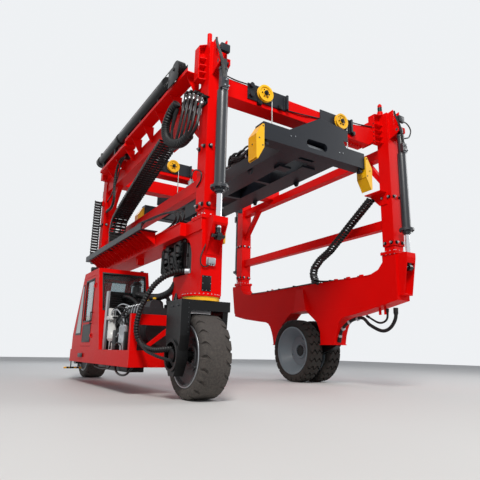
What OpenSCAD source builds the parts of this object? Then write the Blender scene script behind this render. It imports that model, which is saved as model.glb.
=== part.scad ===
// Container straddle carrier on three wheel stations: a portal on two steered
// wheels at the left and one twin wheel at the right, a lift frame on four
// telescopic columns, and a rope-hung telescopic spreader.
// X runs across the machine, +Y forwards and +Z up; the origin is on the floor
// in the middle of the overall box.

/* [Portal] */
// Distance between the left and right column centres
col_gauge = 4400; // [4300:10:4500]
// Distance from the middle to the front and rear column centres
col_y = 2960; // [2920:10:3000]
// Centre of the left columns, left of the spreader's middle
left_col_x = 2035; // [2015:5:2055]
// Width across the machine of the sliding columns
sleeve_w = 320; // [300:5:340]
// Depth along the machine of the sliding columns
sleeve_d = 300; // [290:5:320]
// Plate thickness of columns and boxes
plate = 14; // [10:1:20]
// Running gap between a sliding column and its fixed mast
slide_gap = 8; // [6:1:12]
// Height of the flanges that the masts stand on
flange_z = 2740; // [2700:10:2780]
// Height of the lower end of the sliding columns
sleeve_z = 2890; // [2870:10:2920]
// Height of the top of the sliding columns
sleeve_top = 5890; // [5840:10:5940]
// Width of the ribbed shoulders on the left columns' heads
left_shoulder_w = 120; // [110:5:130]
// Width of the ribbed shoulders on the right columns' heads
right_shoulder_w = 235; // [225:5:245]
// Distance of the shoulders' underside below the columns' tops
shoulder_drop = 690; // [670:10:710]
// Distance of a mast's top below the top of its sliding column
mast_drop = 450; // [400:10:500]

/* [Left side] */
// Height of the left base beam
base_beam_h = 220; // [200:10:240]
// Width of the left base beam at its ends
base_beam_w = 400; // [380:10:420]
// Distance that the beam stands further out between its ends
base_beam_out = 100; // [80:5:120]
// Height of the turntable under each left leg
slew_z = 1480; // [1460:5:1500]
// Thickness of the turntable ring
slew_h = 62; // [55:1:70]
// Outer radius of the turntable ring
slew_r = 285; // [275:5:300]
// Distance of the steering axis outboard of the column centre
steer_out = 75; // [60:5:90]
// Depth of the left legs along the machine
leg_d = 350; // [330:10:360]
// Radius of the arch between leg and beam
haunch_r = 380; // [340:10:400]

/* [Left wheels] */
// Radius of the left tyres
tyre_r = 620; // [610:5:630]
// Width of the left tyres
tyre_w = 480; // [460:5:490]
// Radius of the left rims
rim_r = 440; // [430:5:450]
// Radius of the axles
axle_r = 60; // [50:1:70]
// Running gap of an axle or pin in its bore
pin_gap = 0.1; // [0.05:0.01:0.1]
// Thickness of the fork's top plate
fork_top = 150; // [140:5:160]
// Gap between tyre and fork arm
fork_gap = 45; // [35:5:50]
// Thickness of the fork's outer arm
fork_arm = 150; // [140:5:160]
// Radius of the fork's kingpin
kingpin_r = 90; // [80:1:100]

/* [Right side] */
// Width of the right beam
right_beam_w = 360; // [340:10:370]
// Height of the right beam's top between the masts
right_top_z = 2350; // [2320:10:2380]
// Height of the arch over the twin wheel
arch_z = 1690; // [1670:10:1710]
// Underside of the right legs
leg_foot_z = 885; // [870:5:900]
// Radius of the twin tyres
twin_r = 750; // [740:5:760]
// Width of each twin tyre
twin_w = 380; // [370:5:390]
// Gap between the twin tyres
twin_gap = 190; // [180:5:200]
// Radius of the twin rims
twin_rim_r = 575; // [565:5:585]
// Distance of the twin axle's middle outboard of the column centre
twin_out = 60; // [50:5:70]
// Width of the axle carrier between the twin tyres
carrier_w = 150; // [140:5:160]

/* [Cylinders] */
// Distance of the lift cylinders from the column faces
lift_cyl_out = 200; // [190:5:210]
// Outer radius of the lift barrels
barrel_r = 70; // [66:1:74]
// Radius of the lift rods
lift_rod_r = 46; // [42:1:50]
// Lower end of the lift barrels
barrel_z = 3170; // [3150:10:3200]
// Upper end of the lift barrels
barrel_top = 5290; // [5270:10:5320]
// Height of the pins that hold the lift barrels
eye_z = 5410; // [5390:5:5430]
// Height of the lamp on the rear right column's head
lamp_h = 300; // [250:10:320]

/* [Lift frame] */
// Underside of the left top beam
top_beam_z = 4850; // [4830:10:4880]
// Height of the left top beam
top_beam_h = 330; // [310:10:350]
// Underside of the right top beam
right_top_beam_z = 4930; // [4910:10:4950]
// Height of the right top beam
right_top_beam_h = 200; // [180:10:220]
// Underside of the lower ties
tie_z = 3300; // [3280:10:3320]
// Height of the lower ties
tie_h = 200; // [180:10:220]
// Distance of the cross beams' underside below the columns' tops
cross_drop = 830; // [810:10:850]
// Height of the cross beams
cross_h = 340; // [320:10:360]
// Depth of the cross beams
cross_d = 330; // [310:10:340]
// Distance of the middle cross beam in front of the middle
mid_beam_y = 1200; // [1150:10:1250]

/* [Spreader] */
// Length of the end beams, as wide as a container
spreader_w = 2430; // [2400:10:2438]
// Distance from the middle to the outer face of the rear end beam
spreader_y = 3320; // [3300:10:3340]
// Length of the spreader when it is drawn in
spreader_len = 5980; // [5940:10:6020]
// Depth of the end beams
end_beam_d = 260; // [250:5:280]
// Underside of the end beams
spreader_z = 4250; // [4240:5:4260]
// Height of the end beams
end_beam_h = 320; // [310:5:330]
// Running gap of the telescopes
tele_gap = 6; // [5:1:8]
// Distance that a telescope beam stops short of the other end's beam
tele_short = 1420; // [1300:20:1500]
// Width of each telescope beam
tele_w = 190; // [180:5:200]
// Height of each telescope beam
tele_h = 230; // [220:5:240]
// Distance between the twistlocks across a container
lock_gauge = 2259; // [2250:1:2268]
// Distance of the twistlocks from the end beams' outer faces
lock_in = 63.5; // [60:0.5:70]
// Distances of the telescope beams from the spreader's middle
tele_x = [290, 530];
// Rope sheaves' places along the cross beams
sheave_x = [-970, 930];
// Radius of the rope sheaves
sheave_r = 165; // [155:5:175]
// Distance that the corner guides flare out
guide_out = 330; // [300:10:340]

/* [Cab] */
// Height of the deck's underside
deck_z = 420; // [410:5:430]
// Height of the deck frame
deck_h = 260; // [250:5:270]
// Rear end of the deck
deck_rear = -2130; // [-2140:5:-2110]
// Front end of the deck
deck_front = 1950; // [1930:5:1970]
// Width of the deck
deck_w = 1080; // [1060:10:1100]
// Width of the cab
cab_w = 1050; // [1030:5:1060]
// Height of the cab's roof
cab_top = 2300; // [2280:5:2320]
// Thickness of the cab's walls
cab_wall = 45; // [40:1:50]

/* [Hidden] */
$fn = 48;

e = 0.3;
left_x = -left_col_x;
right_x = left_x + col_gauge;
columns = [[left_x, -col_y], [left_x, col_y], [right_x, -col_y], [right_x, col_y]];
mast_w = sleeve_w - 2 * plate - 2 * slide_gap;
mast_d = sleeve_d - 2 * plate - 2 * slide_gap;
steer_x = left_x - steer_out;
twin_x = right_x + twin_out;
out_x = twin_x + twin_gap / 2 + twin_w;
fork_z = slew_z - slew_h;
cross_z = sleeve_top - cross_drop;
cross_top = cross_z + cross_h;
shoulder_z = sleeve_top - shoulder_drop;
tele_len = spreader_len - end_beam_d - tele_short;
foot_y = [-1270, 1080];
mast_foot = [205, 190, 30];
cyl_y = col_y + sleeve_d / 2 + lift_cyl_out;
gusset_y = cyl_y + 70;
beam_z = flange_z - base_beam_h;
beam_face = left_x - base_beam_w / 2 - base_beam_out;
inner_y = col_y - sleeve_d / 2 - e;
sheave_z = cross_z + 270;
rope_r = 11;
link_pitch = 130;
groove = 25;
rope_x = [for (x = sheave_x) x + sheave_r - groove + rope_r + e];
rope_y = [-col_y - 50, mid_beam_y - 50];
frame_y = [-spreader_y + end_beam_d + 10, -spreader_y + spreader_len - end_beam_d - 10];
spreader_mid = -spreader_y + spreader_len / 2;
tele_z = spreader_z + 35;
left_chain_x = left_x - 150 - e;
front_chain_x = left_x - sleeve_w / 2 - 30 - e;
right_chain_x = right_x - sleeve_w / 2 - 20 - 2 * e;
deck_top = deck_z + deck_h;
twin_disc = 110;
solid_blocks = 20;
twin_blocks = 24;
block_share = 0.76;
deck_x = -out_x;
hoist_z = cross_top + 115;
fan_z = 1170;

module block(x, y, z) {
    translate([x[0], y[0], z[0]])
        cube([x[1] - x[0], y[1] - y[0], z[1] - z[0]]);
}

// A plate drawn in Y and Z, from x[0] to x[1]
module side_plate(x, points) {
    translate([x[0], 0, 0])
        rotate([90, 0, 90])
            linear_extrude(x[1] - x[0])
                polygon(points);
}

// A plate drawn in X and Z, from y[0] to y[1]
module end_plate(y, points) {
    translate([0, y[1], 0])
        rotate([90, 0, 0])
            linear_extrude(y[1] - y[0])
                polygon(points);
}

// A round bar along X
module round_x(r, x, y, z) {
    translate([x[0], y, z])
        rotate([0, 90, 0])
            cylinder(r = r, h = x[1] - x[0]);
}

// A round bar along Y
module round_y(r, x, y, z) {
    translate([x, y[1], z])
        rotate([90, 0, 0])
            cylinder(r = r, h = y[1] - y[0]);
}

module square_tube(w, d, wall, z) {
    difference() {
        block([-w / 2, w / 2], [-d / 2, d / 2], z);
        block([wall - w / 2, w / 2 - wall], [wall - d / 2, d / 2 - wall], [z[0] - 1, z[1] + 1]);
    }
}

// Children drawn for the rear are mirrored to the front
module both_ends() {
    children();
    mirror([0, 1, 0])
        children();
}

module left_base_beam() {
    color("firebrick") {
        block([left_x - base_beam_w / 2, left_x + base_beam_w / 2], [-col_y - 170, col_y + 170],
            [beam_z, flange_z]);
        block([beam_face, left_x], [-2560, 2560], [beam_z, flange_z - 15]);
        block([beam_face - 15, left_x], [-2560, 2560], [flange_z - 15, flange_z]);
        for (end = [-1, 1])
            translate([left_x, end * col_y, 0])
                mast_flange([flange_z - mast_foot[2], flange_z]);
        // lugs under the beam
        block([left_x - 190, left_x - 60], [-280, -150], [beam_z - 130, beam_z]);
        block([left_x - 110, left_x + 20], [-1480, -1400], [beam_z - 170, beam_z]);
    }
}

module left_legs() {
    leg_x = [left_x - 180, left_x + 180];
    color("firebrick")
        both_ends() {
            difference() {
                union() {
                    block(leg_x, [-col_y - leg_d / 2, -col_y + leg_d / 2], [slew_z + 30, beam_z - e]);
                    block(leg_x, [-col_y + leg_d / 2, -col_y + leg_d / 2 + haunch_r],
                        [beam_z - haunch_r, beam_z - e]);
                    translate([steer_x, -col_y, slew_z])
                        cylinder(r = slew_r + 15, h = 30);
                }
                round_x(haunch_r, [leg_x[0] - 1, leg_x[1] + 1], -col_y + leg_d / 2 + haunch_r,
                    beam_z - haunch_r);
            }
            difference() {
                side_plate([left_x - 130, left_x + 130], [
                    [-col_y - leg_d / 2, 2120], [-col_y - leg_d / 2, flange_z - 40],
                    [-gusset_y, flange_z - 40], [-gusset_y, 2600]]);
                block([left_x - 110, left_x + 110], [-gusset_y + 20, -col_y - leg_d / 2 - 10],
                    [2000, flange_z]);
            }
        }
}

module slew_rings() {
    color("gold")
        both_ends()
            translate([steer_x, -col_y, fork_z])
                difference() {
                    cylinder(r = slew_r, h = slew_h - e);
                    translate([0, 0, -1])
                        cylinder(r = kingpin_r + pin_gap, h = slew_h + 2);
                }
}

module chain_trays() {
    tray_x = [left_x - 640, beam_face - 15 - e];
    color("slategray")
        for (tray = [[-1600, 500], [500, 2300]]) {
            block(tray_x, [tray[0], tray[1] - 5], [2780, 2795]);
            block([tray_x[0], tray_x[0] + 12], [tray[0], tray[1] - 5], [2795, 2900]);
            for (rib = [tray[0] + 100 : 400 : tray[1] - 100])
                side_bracket(tray_x, rib);
        }
}

module side_bracket(x, y) {
    end_plate([y, y + 12], [[x[0], 2780], [x[1], 2780], [x[1], beam_z + 20]]);
}

// Bolted flange plate round a mast's foot
module mast_flange(z) {
    block([-mast_foot[0], mast_foot[0]], [-mast_foot[1], mast_foot[1]], z);
}

module fixed_masts() {
    color("firebrick")
        for (c = columns)
            translate([c[0], c[1], 0]) {
                mast_flange([flange_z + e, flange_z + mast_foot[2]]);
                block([-mast_w / 2, mast_w / 2], [-mast_d / 2, mast_d / 2],
                    [flange_z + mast_foot[2] - 1, sleeve_top - mast_drop]);
            }
}

module lift_rods() {
    color("gainsboro")
        for (c = columns)
            translate([c[0], sign(c[1]) * cyl_y, 0]) {
                translate([0, 0, 2400])
                    cylinder(r = lift_rod_r, h = barrel_top - 60 - 2400);
                round_x(65, [-40, 40], 0, 2400);
                round_x(30, [e - 110, 110 - e], 0, 2400);
            }
}

// Girder between the right masts, drawn down to the arch's crown
module right_beam() {
    half = right_beam_w / 2;
    color("firebrick") {
        side_plate([right_x - half, right_x + half], [
            [-3130, 1760], [-2790, arch_z + e], [2790, arch_z + e], [3130, 1760],
            [3130, flange_z], [2790, flange_z], [2790, 2570], [2660, 2430], [2430, right_top_z],
            [-2430, right_top_z], [-2660, 2430], [-2790, 2570], [-2790, flange_z], [-3130, flange_z]]);
        for (end = [-1, 1])
            translate([right_x, end * col_y, 0])
                mast_flange([flange_z - mast_foot[2], flange_z]);
        // edge flanges of the girder and clips for the cables on its top
        block([right_x - half - 12, right_x + half + 12], [-2430, 2430], [right_top_z - 14, right_top_z]);
        for (y = [-2200 : 400 : -600])
            block([right_x - half + 10, right_x - half + 60], [y, y + 90],
                [right_top_z - 1, right_top_z + 40]);
        side_plate([right_x - 20, right_x + 20], [
            [1330, right_top_z - 1], [1370, right_top_z + 90], [1410, right_top_z + 90],
            [1450, right_top_z - 1]]);
    }
}

// Legs of the right beam, which curve down to the twin wheel's axle on both sides of its arch
module right_feet() {
    half = right_beam_w / 2;
    // distance of the foot's outer edge beyond its toe, and height
    outer = [[0, leg_foot_z], [40, 1090], [100, 1250], [170, 1380], [260, 1465], [380, 1505], [650, 1535]];
    // distance of the arch's edge from the axle, and height
    arch = [[815, leg_foot_z], [800, 1180], [700, 1410], [480, 1575], [320, arch_z]];
    color("firebrick") {
        for (end = [-1, 1]) {
            toe = end < 0 ? -foot_y[0] : foot_y[1];
            mirror([0, end < 0 ? 1 : 0, 0])
                side_plate([right_x - half, right_x + half], concat(
                    [for (q = outer) [toe + q[0], q[1]]], [[2530, 1640], [2789, arch_z]],
                    [for (i = [len(arch) - 1 : -1 : 0]) arch[i]]));
            mirror([0, end < 0 ? 1 : 0, 0])
                block([right_x - half - 15, right_x + half + 15], [arch[0][0] - 15, toe + 15],
                    [leg_foot_z, leg_foot_z + 20]);
        }
        // hose stubs under the rear end
        for (y = [-2680, -2540])
            translate([right_x - 40, y, 1500])
                cylinder(r = 28, h = arch_z - 5 - 1500);
    }
}

module right_gussets() {
    face = right_x - right_beam_w / 2;
    color("firebrick") {
        // wedge that stiffens the beam over the arch
        intersection() {
            end_plate([-450, 60], [
                [face - 20, right_top_z - 80], [face - e, right_top_z - 80],
                [face - e, arch_z + 10], [face - 125, arch_z + 10]]);
            side_plate([face - 200, face], [
                [-165, right_top_z], [40, right_top_z], [60, arch_z], [-440, arch_z]]);
        }
        both_ends()
            difference() {
                side_plate([right_x - 130, right_x + 130], [
                    [-3130 - e, 1850], [-3130 - e, flange_z - 40],
                    [-gusset_y, flange_z - 40], [-gusset_y, 2600], [-3250, 1850]]);
                block([right_x - 110, right_x + 110], [-gusset_y + 20, -3150], [1880, flange_z]);
            }
    }
}

module axle_carrier() {
    axle_half = twin_gap / 2 + twin_w / 2 - twin_disc + 10;
    top = leg_foot_z - e;
    color("dimgray") {
        side_plate([twin_x - carrier_w / 2, twin_x + carrier_w / 2], [
            [-1160, top], [-1160, top - 20], [-1000, 790], [-700, 700], [-400, 640], [400, 640],
            [850, 750], [1050, top - 20], [1050, top], [840, top], [400, 860], [-400, 860],
            [-840, top]]);
        round_x(axle_r, [twin_x - axle_half, twin_x + axle_half], 0, twin_r);
    }
}

// Tyre with grooves between its blocks, turned about X. Each row of the section holds
// the place across, the radius, the groove's depth there and its lead round the wheel.
module tyre(section, pitches) {
    // share of a pitch, and whether the groove is there
    steps = [[0, 0], [block_share, 0], [(block_share + 1) / 2, 1]];
    n = len(section);
    m = pitches * len(steps);
    points = [
        for (p = [0 : pitches - 1], s = steps, q = section)
            let (a = (p + s[0] + q[3]) * 360 / pitches, r = q[1] - s[1] * q[2])
                [q[0], r * cos(a), r * sin(a)]];
    faces = [
        for (i = [0 : m - 1], j = [0 : n - 1])
            let (i2 = (i + 1) % m, j2 = (j + 1) % n)
                each [[i * n + j, i2 * n + j2, i * n + j2], [i * n + j, i2 * n + j, i2 * n + j2]]];
    polyhedron(points, faces);
}

// Radius of a tyre's inner edge whose straight sides just clear a rim
function inner_edge(r, pitches) = r / cos(block_share * 180 / pitches);

function mirrored(rows) = concat(
    [for (q = rows) [-q[0], q[1], q[2], q[3]]],
    [for (i = [len(rows) - 1 : -1 : 0]) rows[i]]);

// Steered tyre: smooth tread with hooked notches in both shoulders
module solid_tyre() {
    half = tyre_w / 2;
    tyre(mirrored([
        [half - 30, inner_edge(rim_r, solid_blocks), 0, 0], [half, tyre_r - 90, 12, 0.1],
        [half - 50, tyre_r, 34, 0.12], [half - 150, tyre_r, 0, 0]]), solid_blocks);
}

// Twin tyre: zigzag blocks over the whole tread
module block_tyre() {
    half = twin_w / 2;
    side = [
        [half - 30, inner_edge(twin_rim_r, twin_blocks), 0, 0], [half, twin_r - 90, 18, 0],
        [half - 45, twin_r - 5, 30, 0], [half - 110, twin_r, 30, 0.3]];
    tyre(concat(
        [for (q = side) [-q[0], q[1], q[2], q[3]]], [[0, twin_r, 30, 0]],
        [for (i = [len(side) - 1 : -1 : 0]) side[i]]), twin_blocks);
}

// Rim with a dished disc and a toothed hub opening, the dish open towards -X
module rim(r, w, hub_r, disc_x) {
    rotate([0, 90, 0])
        rotate_extrude($fn = 72)
            polygon([
                [axle_r + pin_gap, disc_x + 15], [hub_r, disc_x + 15], [hub_r, disc_x - 30],
                [hub_r + 35, disc_x - 30], [hub_r + 45, disc_x - 15], [0.62 * r, disc_x - 15],
                [r - 45, -w / 2 + 60], [r - 25, -w / 2 + 10],
                [r - e, -w / 2 + 10], [r - e, w / 2 - 10], [r - 25, w / 2 - 10],
                [r - 60, disc_x + 15], [hub_r + 35, disc_x + 40], [axle_r + pin_gap, disc_x + 40]]);
    for (a = [0 : 20 : 340])
        rotate([a, 0, 0])
            block([disc_x - 30, disc_x + 16], [-9, 9], [hub_r - 18, hub_r + 2]);
    for (a = [20, 140, 260])
        rotate([a, 0, 0])
            block([disc_x - 45, disc_x - 10], [-40, 40], [0.5 * r, 0.5 * r + 24]);
}

module place_left_wheel(end) {
    translate([steer_x, end * col_y, tyre_r])
        children();
}

module tyre_rear() {
    color("dimgray")
        place_left_wheel(-1)
            solid_tyre();
}

module tyre_front() {
    color("dimgray")
        place_left_wheel(1)
            solid_tyre();
}

module rim_rear() {
    color("slategray")
        place_left_wheel(-1)
            rim(rim_r, tyre_w, 130, -110);
}

module rim_front() {
    color("slategray")
        place_left_wheel(1)
            rim(rim_r, tyre_w, 130, -110);
}

// Steered fork drawn about its steering axis at the floor
module fork() {
    outer = -tyre_w / 2 - fork_gap;
    inner = tyre_w / 2 + fork_gap;
    face = outer - fork_arm;
    under = fork_z - fork_top;
    fillet = 60;
    motor_r = 190;
    difference() {
        union() {
            block([face, inner + 90], [-260, 260], [under - 1, fork_z - 1]);
            side_plate([face, outer], [
                [-260, under], [-260, 900], [-190, tyre_r - 120], [-90, tyre_r - 290], [90, tyre_r - 290],
                [190, tyre_r - 120], [260, 900], [260, under]]);
            round_x(motor_r + 40, [face - 25, outer], 0, tyre_r);
            // rounded corner between the arm and the plate
            difference() {
                block([outer - 1, outer + fillet], [-260, 260], [under - fillet, under]);
                round_y(fillet, outer + fillet, [-261, 261], under - fillet);
            }
        }
        round_x(motor_r, [face - 26, face + 90], 0, tyre_r);
    }
    translate([0, 0, fork_z - 2])
        cylinder(r = kingpin_r, h = slew_h - 4);
    // bump stop on the plate
    translate([face + 75, 120, fork_z - 2])
        cylinder(r1 = 45, r2 = 12, h = 120);
    side_plate([inner, inner + 90], [
        [-200, under], [-120, tyre_r - 120], [120, tyre_r - 120], [200, under]]);
    // drive motor in the arm, with its stepped cover
    round_x(150, [face + 30, face + 91], 0, tyre_r);
    round_x(95, [face - 10, face + 31], 0, tyre_r);
    round_x(axle_r, [outer - 1, inner + 1], 0, tyre_r);
}

module fork_rear() {
    color("dimgray")
        translate([steer_x, -col_y, 0])
            fork();
}

module fork_front() {
    color("dimgray")
        translate([steer_x, col_y, 0])
            fork();
}

module twin_tyres() {
    color("dimgray")
        for (side = [-1, 1])
            translate([twin_x + side * (twin_gap + twin_w) / 2, 0, twin_r])
                block_tyre();
}

module twin_rims() {
    color("slategray") {
        translate([twin_x - (twin_gap + twin_w) / 2, 0, twin_r])
            rim(twin_rim_r, twin_w, 150, twin_disc);
        translate([twin_x + (twin_gap + twin_w) / 2, 0, twin_r])
            mirror([1, 0, 0])
                rim(twin_rim_r, twin_w, 150, twin_disc);
    }
}

module deck() {
    color("firebrick") {
        difference() {
            block([deck_x, deck_x + deck_w], [deck_rear, deck_front], [deck_z, deck_top]);
            block([deck_x + 60, deck_x + deck_w - 60], [deck_rear + 60, deck_front - 60],
                [deck_z - 1, deck_top - 40]);
        }
    }
}

module bulkheads() {
    color("firebrick") {
        block([deck_x, deck_x + 120], [deck_rear, deck_rear + 80], [deck_top + e, 1250]);
        block([deck_x + 120, left_x + 160], [deck_rear, deck_rear + 80], [1080, 1250]);
        end_plate([deck_rear, deck_rear + 80], [
            [deck_x + 250, deck_top + 60], [deck_x + 330, deck_top + 60],
            [left_x - 60, 1080], [left_x - 200, 1080]]);
        block([left_x - 160, left_x + 160], [deck_rear, deck_rear + 80], [1250, 1540]);
        block([left_x - 160, left_x + 160], [-col_y + leg_d / 2 + e, deck_rear + 80], [1540, 1890]);
        block([left_x - 160, left_x + 160], [deck_front - 80, col_y - leg_d / 2 - e], [1540, 1890]);
        block([left_x - 160, left_x + 160], [deck_front - 80, deck_front], [deck_top + e, 1540]);
    }
}

// Open diesel engine, lengthwise: sump, block, head, manifolds, belt drive and fan
module engine() {
    x = [deck_x + 290, deck_x + deck_w - 240];
    y = [-1800, -900];
    mid = (x[0] + x[1]) / 2;
    color("dimgray") {
        for (foot = [y[0] + 80, y[1] - 180])
            block([x[0] - 80, x[1] + 80], [foot, foot + 90], [deck_top + e, 800]);
        block([x[0] + 60, x[1] - 60], [y[0] + 60, y[1] - 60], [720, 860]);
        block(x, y, [860, 1260]);
        block([x[0] + 40, x[1] - 40], [y[0] + 20, y[1] - 20], [1259, 1400]);
        side_ribs([x[0] - 25, x[0] + 1], y, [900, 1230], 7);
        // valve cover with three caps
        end_plate([y[0] + 60, y[1] - 60], [
            [mid - 130, 1399], [mid - 110, 1500], [mid - 70, 1530],
            [mid + 70, 1530], [mid + 110, 1500], [mid + 130, 1399]]);
        for (cap = [y[0] + 160, y[1] - 380, y[1] - 160])
            translate([mid, cap, 1529])
                cylinder(r = 35, h = 30);
        // flywheel housing, intake and exhaust manifolds
        round_y(230, mid, [y[0] - 90, y[0] + 1], 1010);
        round_y(55, x[0] + 5, [y[0] + 40, y[1] - 40], 1340);
        round_y(45, x[1] + 20, [y[0] + 40, y[1] - 120], 1330);
        translate([x[1] + 40, y[0] + 260, 1330])
            cylinder(r = 90, h = 150);
        for (port = [y[0] + 100 : 140 : y[1] - 120])
            block([x[1] - 45, x[1] + 21], [port, port + 50], [1300, 1360]);
        // starter, alternator and belt drive
        round_y(60, x[0] - 70, [y[0] + 30, y[0] + 300], 960);
        block([x[0] - 71, x[0] + 1], [y[0] + 60, y[0] + 120], [930, 990]);
        round_y(75, x[0] - 60, [y[1] - 190, y[1] - 40], 1190);
        block([x[0] - 61, x[0] + 1], [y[1] - 150, y[1] - 90], [1160, 1220]);
        for (pulley = [[mid, 920, 100], [mid, fan_z, 85], [x[0] - 60, 1190, 50]])
            round_y(pulley[2], pulley[0], [y[1] - 41, y[1] + 45], pulley[1]);
        round_y(30, mid, [y[1] + 44, y[1] + 150], fan_z);
        for (a = [0 : 45 : 315])
            translate([mid, y[1] + 110, fan_z])
                rotate([0, a, 0])
                    rotate([0, 0, 25])
                        block([-45, 45], [-4, 4], [20, 300]);
    }
}

// Upright ribs cast on a face
module side_ribs(x, y, z, count) {
    for (i = [0 : count - 1])
        let (at = y[0] + (i + 0.5) * (y[1] - y[0]) / count)
            block(x, [at - 12, at + 12], z);
}

// Radiator: a frame round a core with fins, and the fan's shroud behind it
module radiator() {
    x = [deck_x + 60, deck_x + deck_w - 60];
    y = [-560, -460];
    z = [deck_top + e, 1760];
    edge = 55;
    fin_pitch = 42;
    color("silver") {
        difference() {
            block(x, y, z);
            block([x[0] + edge, x[1] - edge], [y[0] - 1, y[0] + 30], [z[0] + edge, z[1] - edge]);
            block([x[0] + edge, x[1] - edge], [y[1] - 30, y[1] + 1], [z[0] + edge, z[1] - edge]);
        }
        for (fin = [z[0] + edge + 20 : fin_pitch : z[1] - edge - 20])
            block([x[0] + edge - 1, x[1] - edge + 1], [y[0] + 8, y[0] + 31], [fin, fin + 8]);
        difference() {
            round_y(340, (x[0] + x[1]) / 2, [y[0] - 110, y[0] + 31], fan_z);
            round_y(322, (x[0] + x[1]) / 2, [y[0] - 111, y[0] + 32], fan_z);
        }
    }
}

// Filters and the valve block at the engine's outer side
module filters() {
    color("gainsboro") {
        // place across and along, radius, height of the bowl
        for (f = [[120, -760, 85, 360], [95, -1420, 55, 260], [95, -1560, 55, 260]])
            translate([deck_x + f[0], f[1], deck_top + e]) {
                cylinder(r = f[2] * 0.55, h = 121);
                translate([0, 0, 120])
                    cylinder(r = f[2], h = f[3]);
                block([-f[2] * 0.7, f[2] * 0.7], [-f[2] * 0.7, f[2] * 0.7], [119 + f[3], 190 + f[3]]);
            }
        block([deck_x + 40, deck_x + 145], [-1240, -1060], [deck_top + e, 1180]);
    }
}

module hydraulic_tank() {
    color("dimgray")
        translate([left_x + 20, deck_rear + 105, 1890 + e])
            cylinder(r = 150, h = beam_z - 1890 - 2 * e);
}

cab_x = [deck_x, deck_x + cab_w];
hinge_at = [deck_x - 11, 250];
hinge_zs = [950, 1950];
hinge_pin_r = 6;
hinge_r = 10;
cab_rear = -400;
cab_rear_top = 90;
cab_front = 1850;
cab_front_top = 1200;

function cab_side(wall) = [
    [cab_rear + wall, deck_top + e + wall], [cab_rear_top + wall, cab_top - wall],
    [cab_front_top - wall, cab_top - wall], [cab_front - wall, 1000],
    [cab_front - wall, deck_top + e + wall]];

module cab_shell() {
    color("firebrick") {
        for (z = hinge_zs) {
            translate([hinge_at[0], hinge_at[1], z - 45])
                cylinder(r = hinge_pin_r, h = 90);
            for (lug = [z - 45, z + 26]) {
                translate([hinge_at[0], hinge_at[1], lug])
                    cylinder(r = hinge_r, h = 19);
                block([hinge_at[0] - hinge_r, cab_x[0] + 1], [hinge_at[1] - 60, hinge_at[1]],
                    [lug, lug + 19]);
            }
        }
        difference() {
            side_plate(cab_x, cab_side(0));
            side_plate([cab_x[0] + cab_wall, cab_x[1] - cab_wall], cab_side(cab_wall));
            // door opening
            block([cab_x[0] - 1, cab_x[0] + cab_wall + 1], [250, 1050], [deck_top + 60, cab_top - 120]);
            // rear window
            block([cab_x[0] + 90, cab_x[1] - 90], [cab_rear - 100, cab_rear_top + 200],
                [1450, cab_top - 110]);
            // windscreen
            block([cab_x[0] + 90, cab_x[1] - 90], [cab_front_top - 300, cab_front + 100],
                [1050, cab_top - 110]);
            // right window
            block([cab_x[1] - cab_wall - 1, cab_x[1] + 1], [200, 1150], [1150, cab_top - 120]);
        }
    }
}

module cab_glass() {
    color("lightblue") {
        intersection() {
            difference() {
                side_plate([cab_x[0] + 90 + e, cab_x[1] - 90 - e], cab_side(18));
                side_plate(cab_x, cab_side(26));
            }
            union() {
                block(cab_x, [cab_rear - 100, cab_rear_top + 200], [1450 + e, cab_top - 110 - e]);
                block(cab_x, [cab_front_top - 300, cab_front + 100], [1050 + e, cab_top - 110 - e]);
            }
        }
        block([cab_x[1] - 26, cab_x[1] - 18], [200 + e, 1150 - e], [1150 + e, cab_top - 120 - e]);
    }
}

module cab_seat() {
    color("dimgray") {
        block([cab_x[0] + 300, cab_x[0] + 750], [300, 750], [deck_top + cab_wall + 2 * e, 1150]);
        block([cab_x[0] + 300, cab_x[0] + 750], [300, 400], [1150, 1750]);
    }
}

module cab_door() {
    color("firebrick") {
        difference() {
            block([cab_x[0] + e, cab_x[0] + cab_wall], [256, 1044], [deck_top + 66, cab_top - 126]);
            block([cab_x[0] - 1, cab_x[0] + cab_wall + 1], [330, 970], [1250, cab_top - 200]);
        }
        for (z = hinge_zs)
            difference() {
                union() {
                    translate([hinge_at[0], hinge_at[1], z - 25])
                        cylinder(r = hinge_r, h = 50);
                    block([hinge_at[0] - hinge_r, cab_x[0] + 1], [hinge_at[1] + 8, hinge_at[1] + 60],
                        [z - 25, z + 25]);
                }
                translate([hinge_at[0], hinge_at[1], z - 26])
                    cylinder(r = hinge_pin_r + pin_gap, h = 52);
            }
    }
}

module lift_columns() {
    color("firebrick") {
        for (c = columns)
            translate([c[0], c[1], 0]) {
                square_tube(sleeve_w, sleeve_d, plate, [sleeve_z, sleeve_top - 20]);
                block([-sleeve_w / 2, sleeve_w / 2], [-sleeve_d / 2, sleeve_d / 2],
                    [sleeve_top - 20, sleeve_top]);
                mirror([0, c[1] > 0 ? 1 : 0, 0]) {
                    if (c[0] < 0)
                        head_shoulder(left_shoulder_w, sleeve_top - 70);
                    else
                        head_shoulder(right_shoulder_w, sleeve_top - 60);
                    for (side = [-1, 1])
                        cylinder_ear([side * 95 - 10, side * 95 + 10]);
                }
            }
        // lamp base on the rear right head and cap on the rear left one
        translate([right_x - 120, -col_y + 60, sleeve_top - 1]) {
            cylinder(r = 65, h = lamp_h / 3);
            cylinder(r = 48, h = lamp_h - 30);
            cylinder(r = 30, h = lamp_h);
        }
        translate([left_x - 100, -col_y, sleeve_top - 1])
            cylinder(r = 42, h = 0.8 * lamp_h);
    }
}

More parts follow.
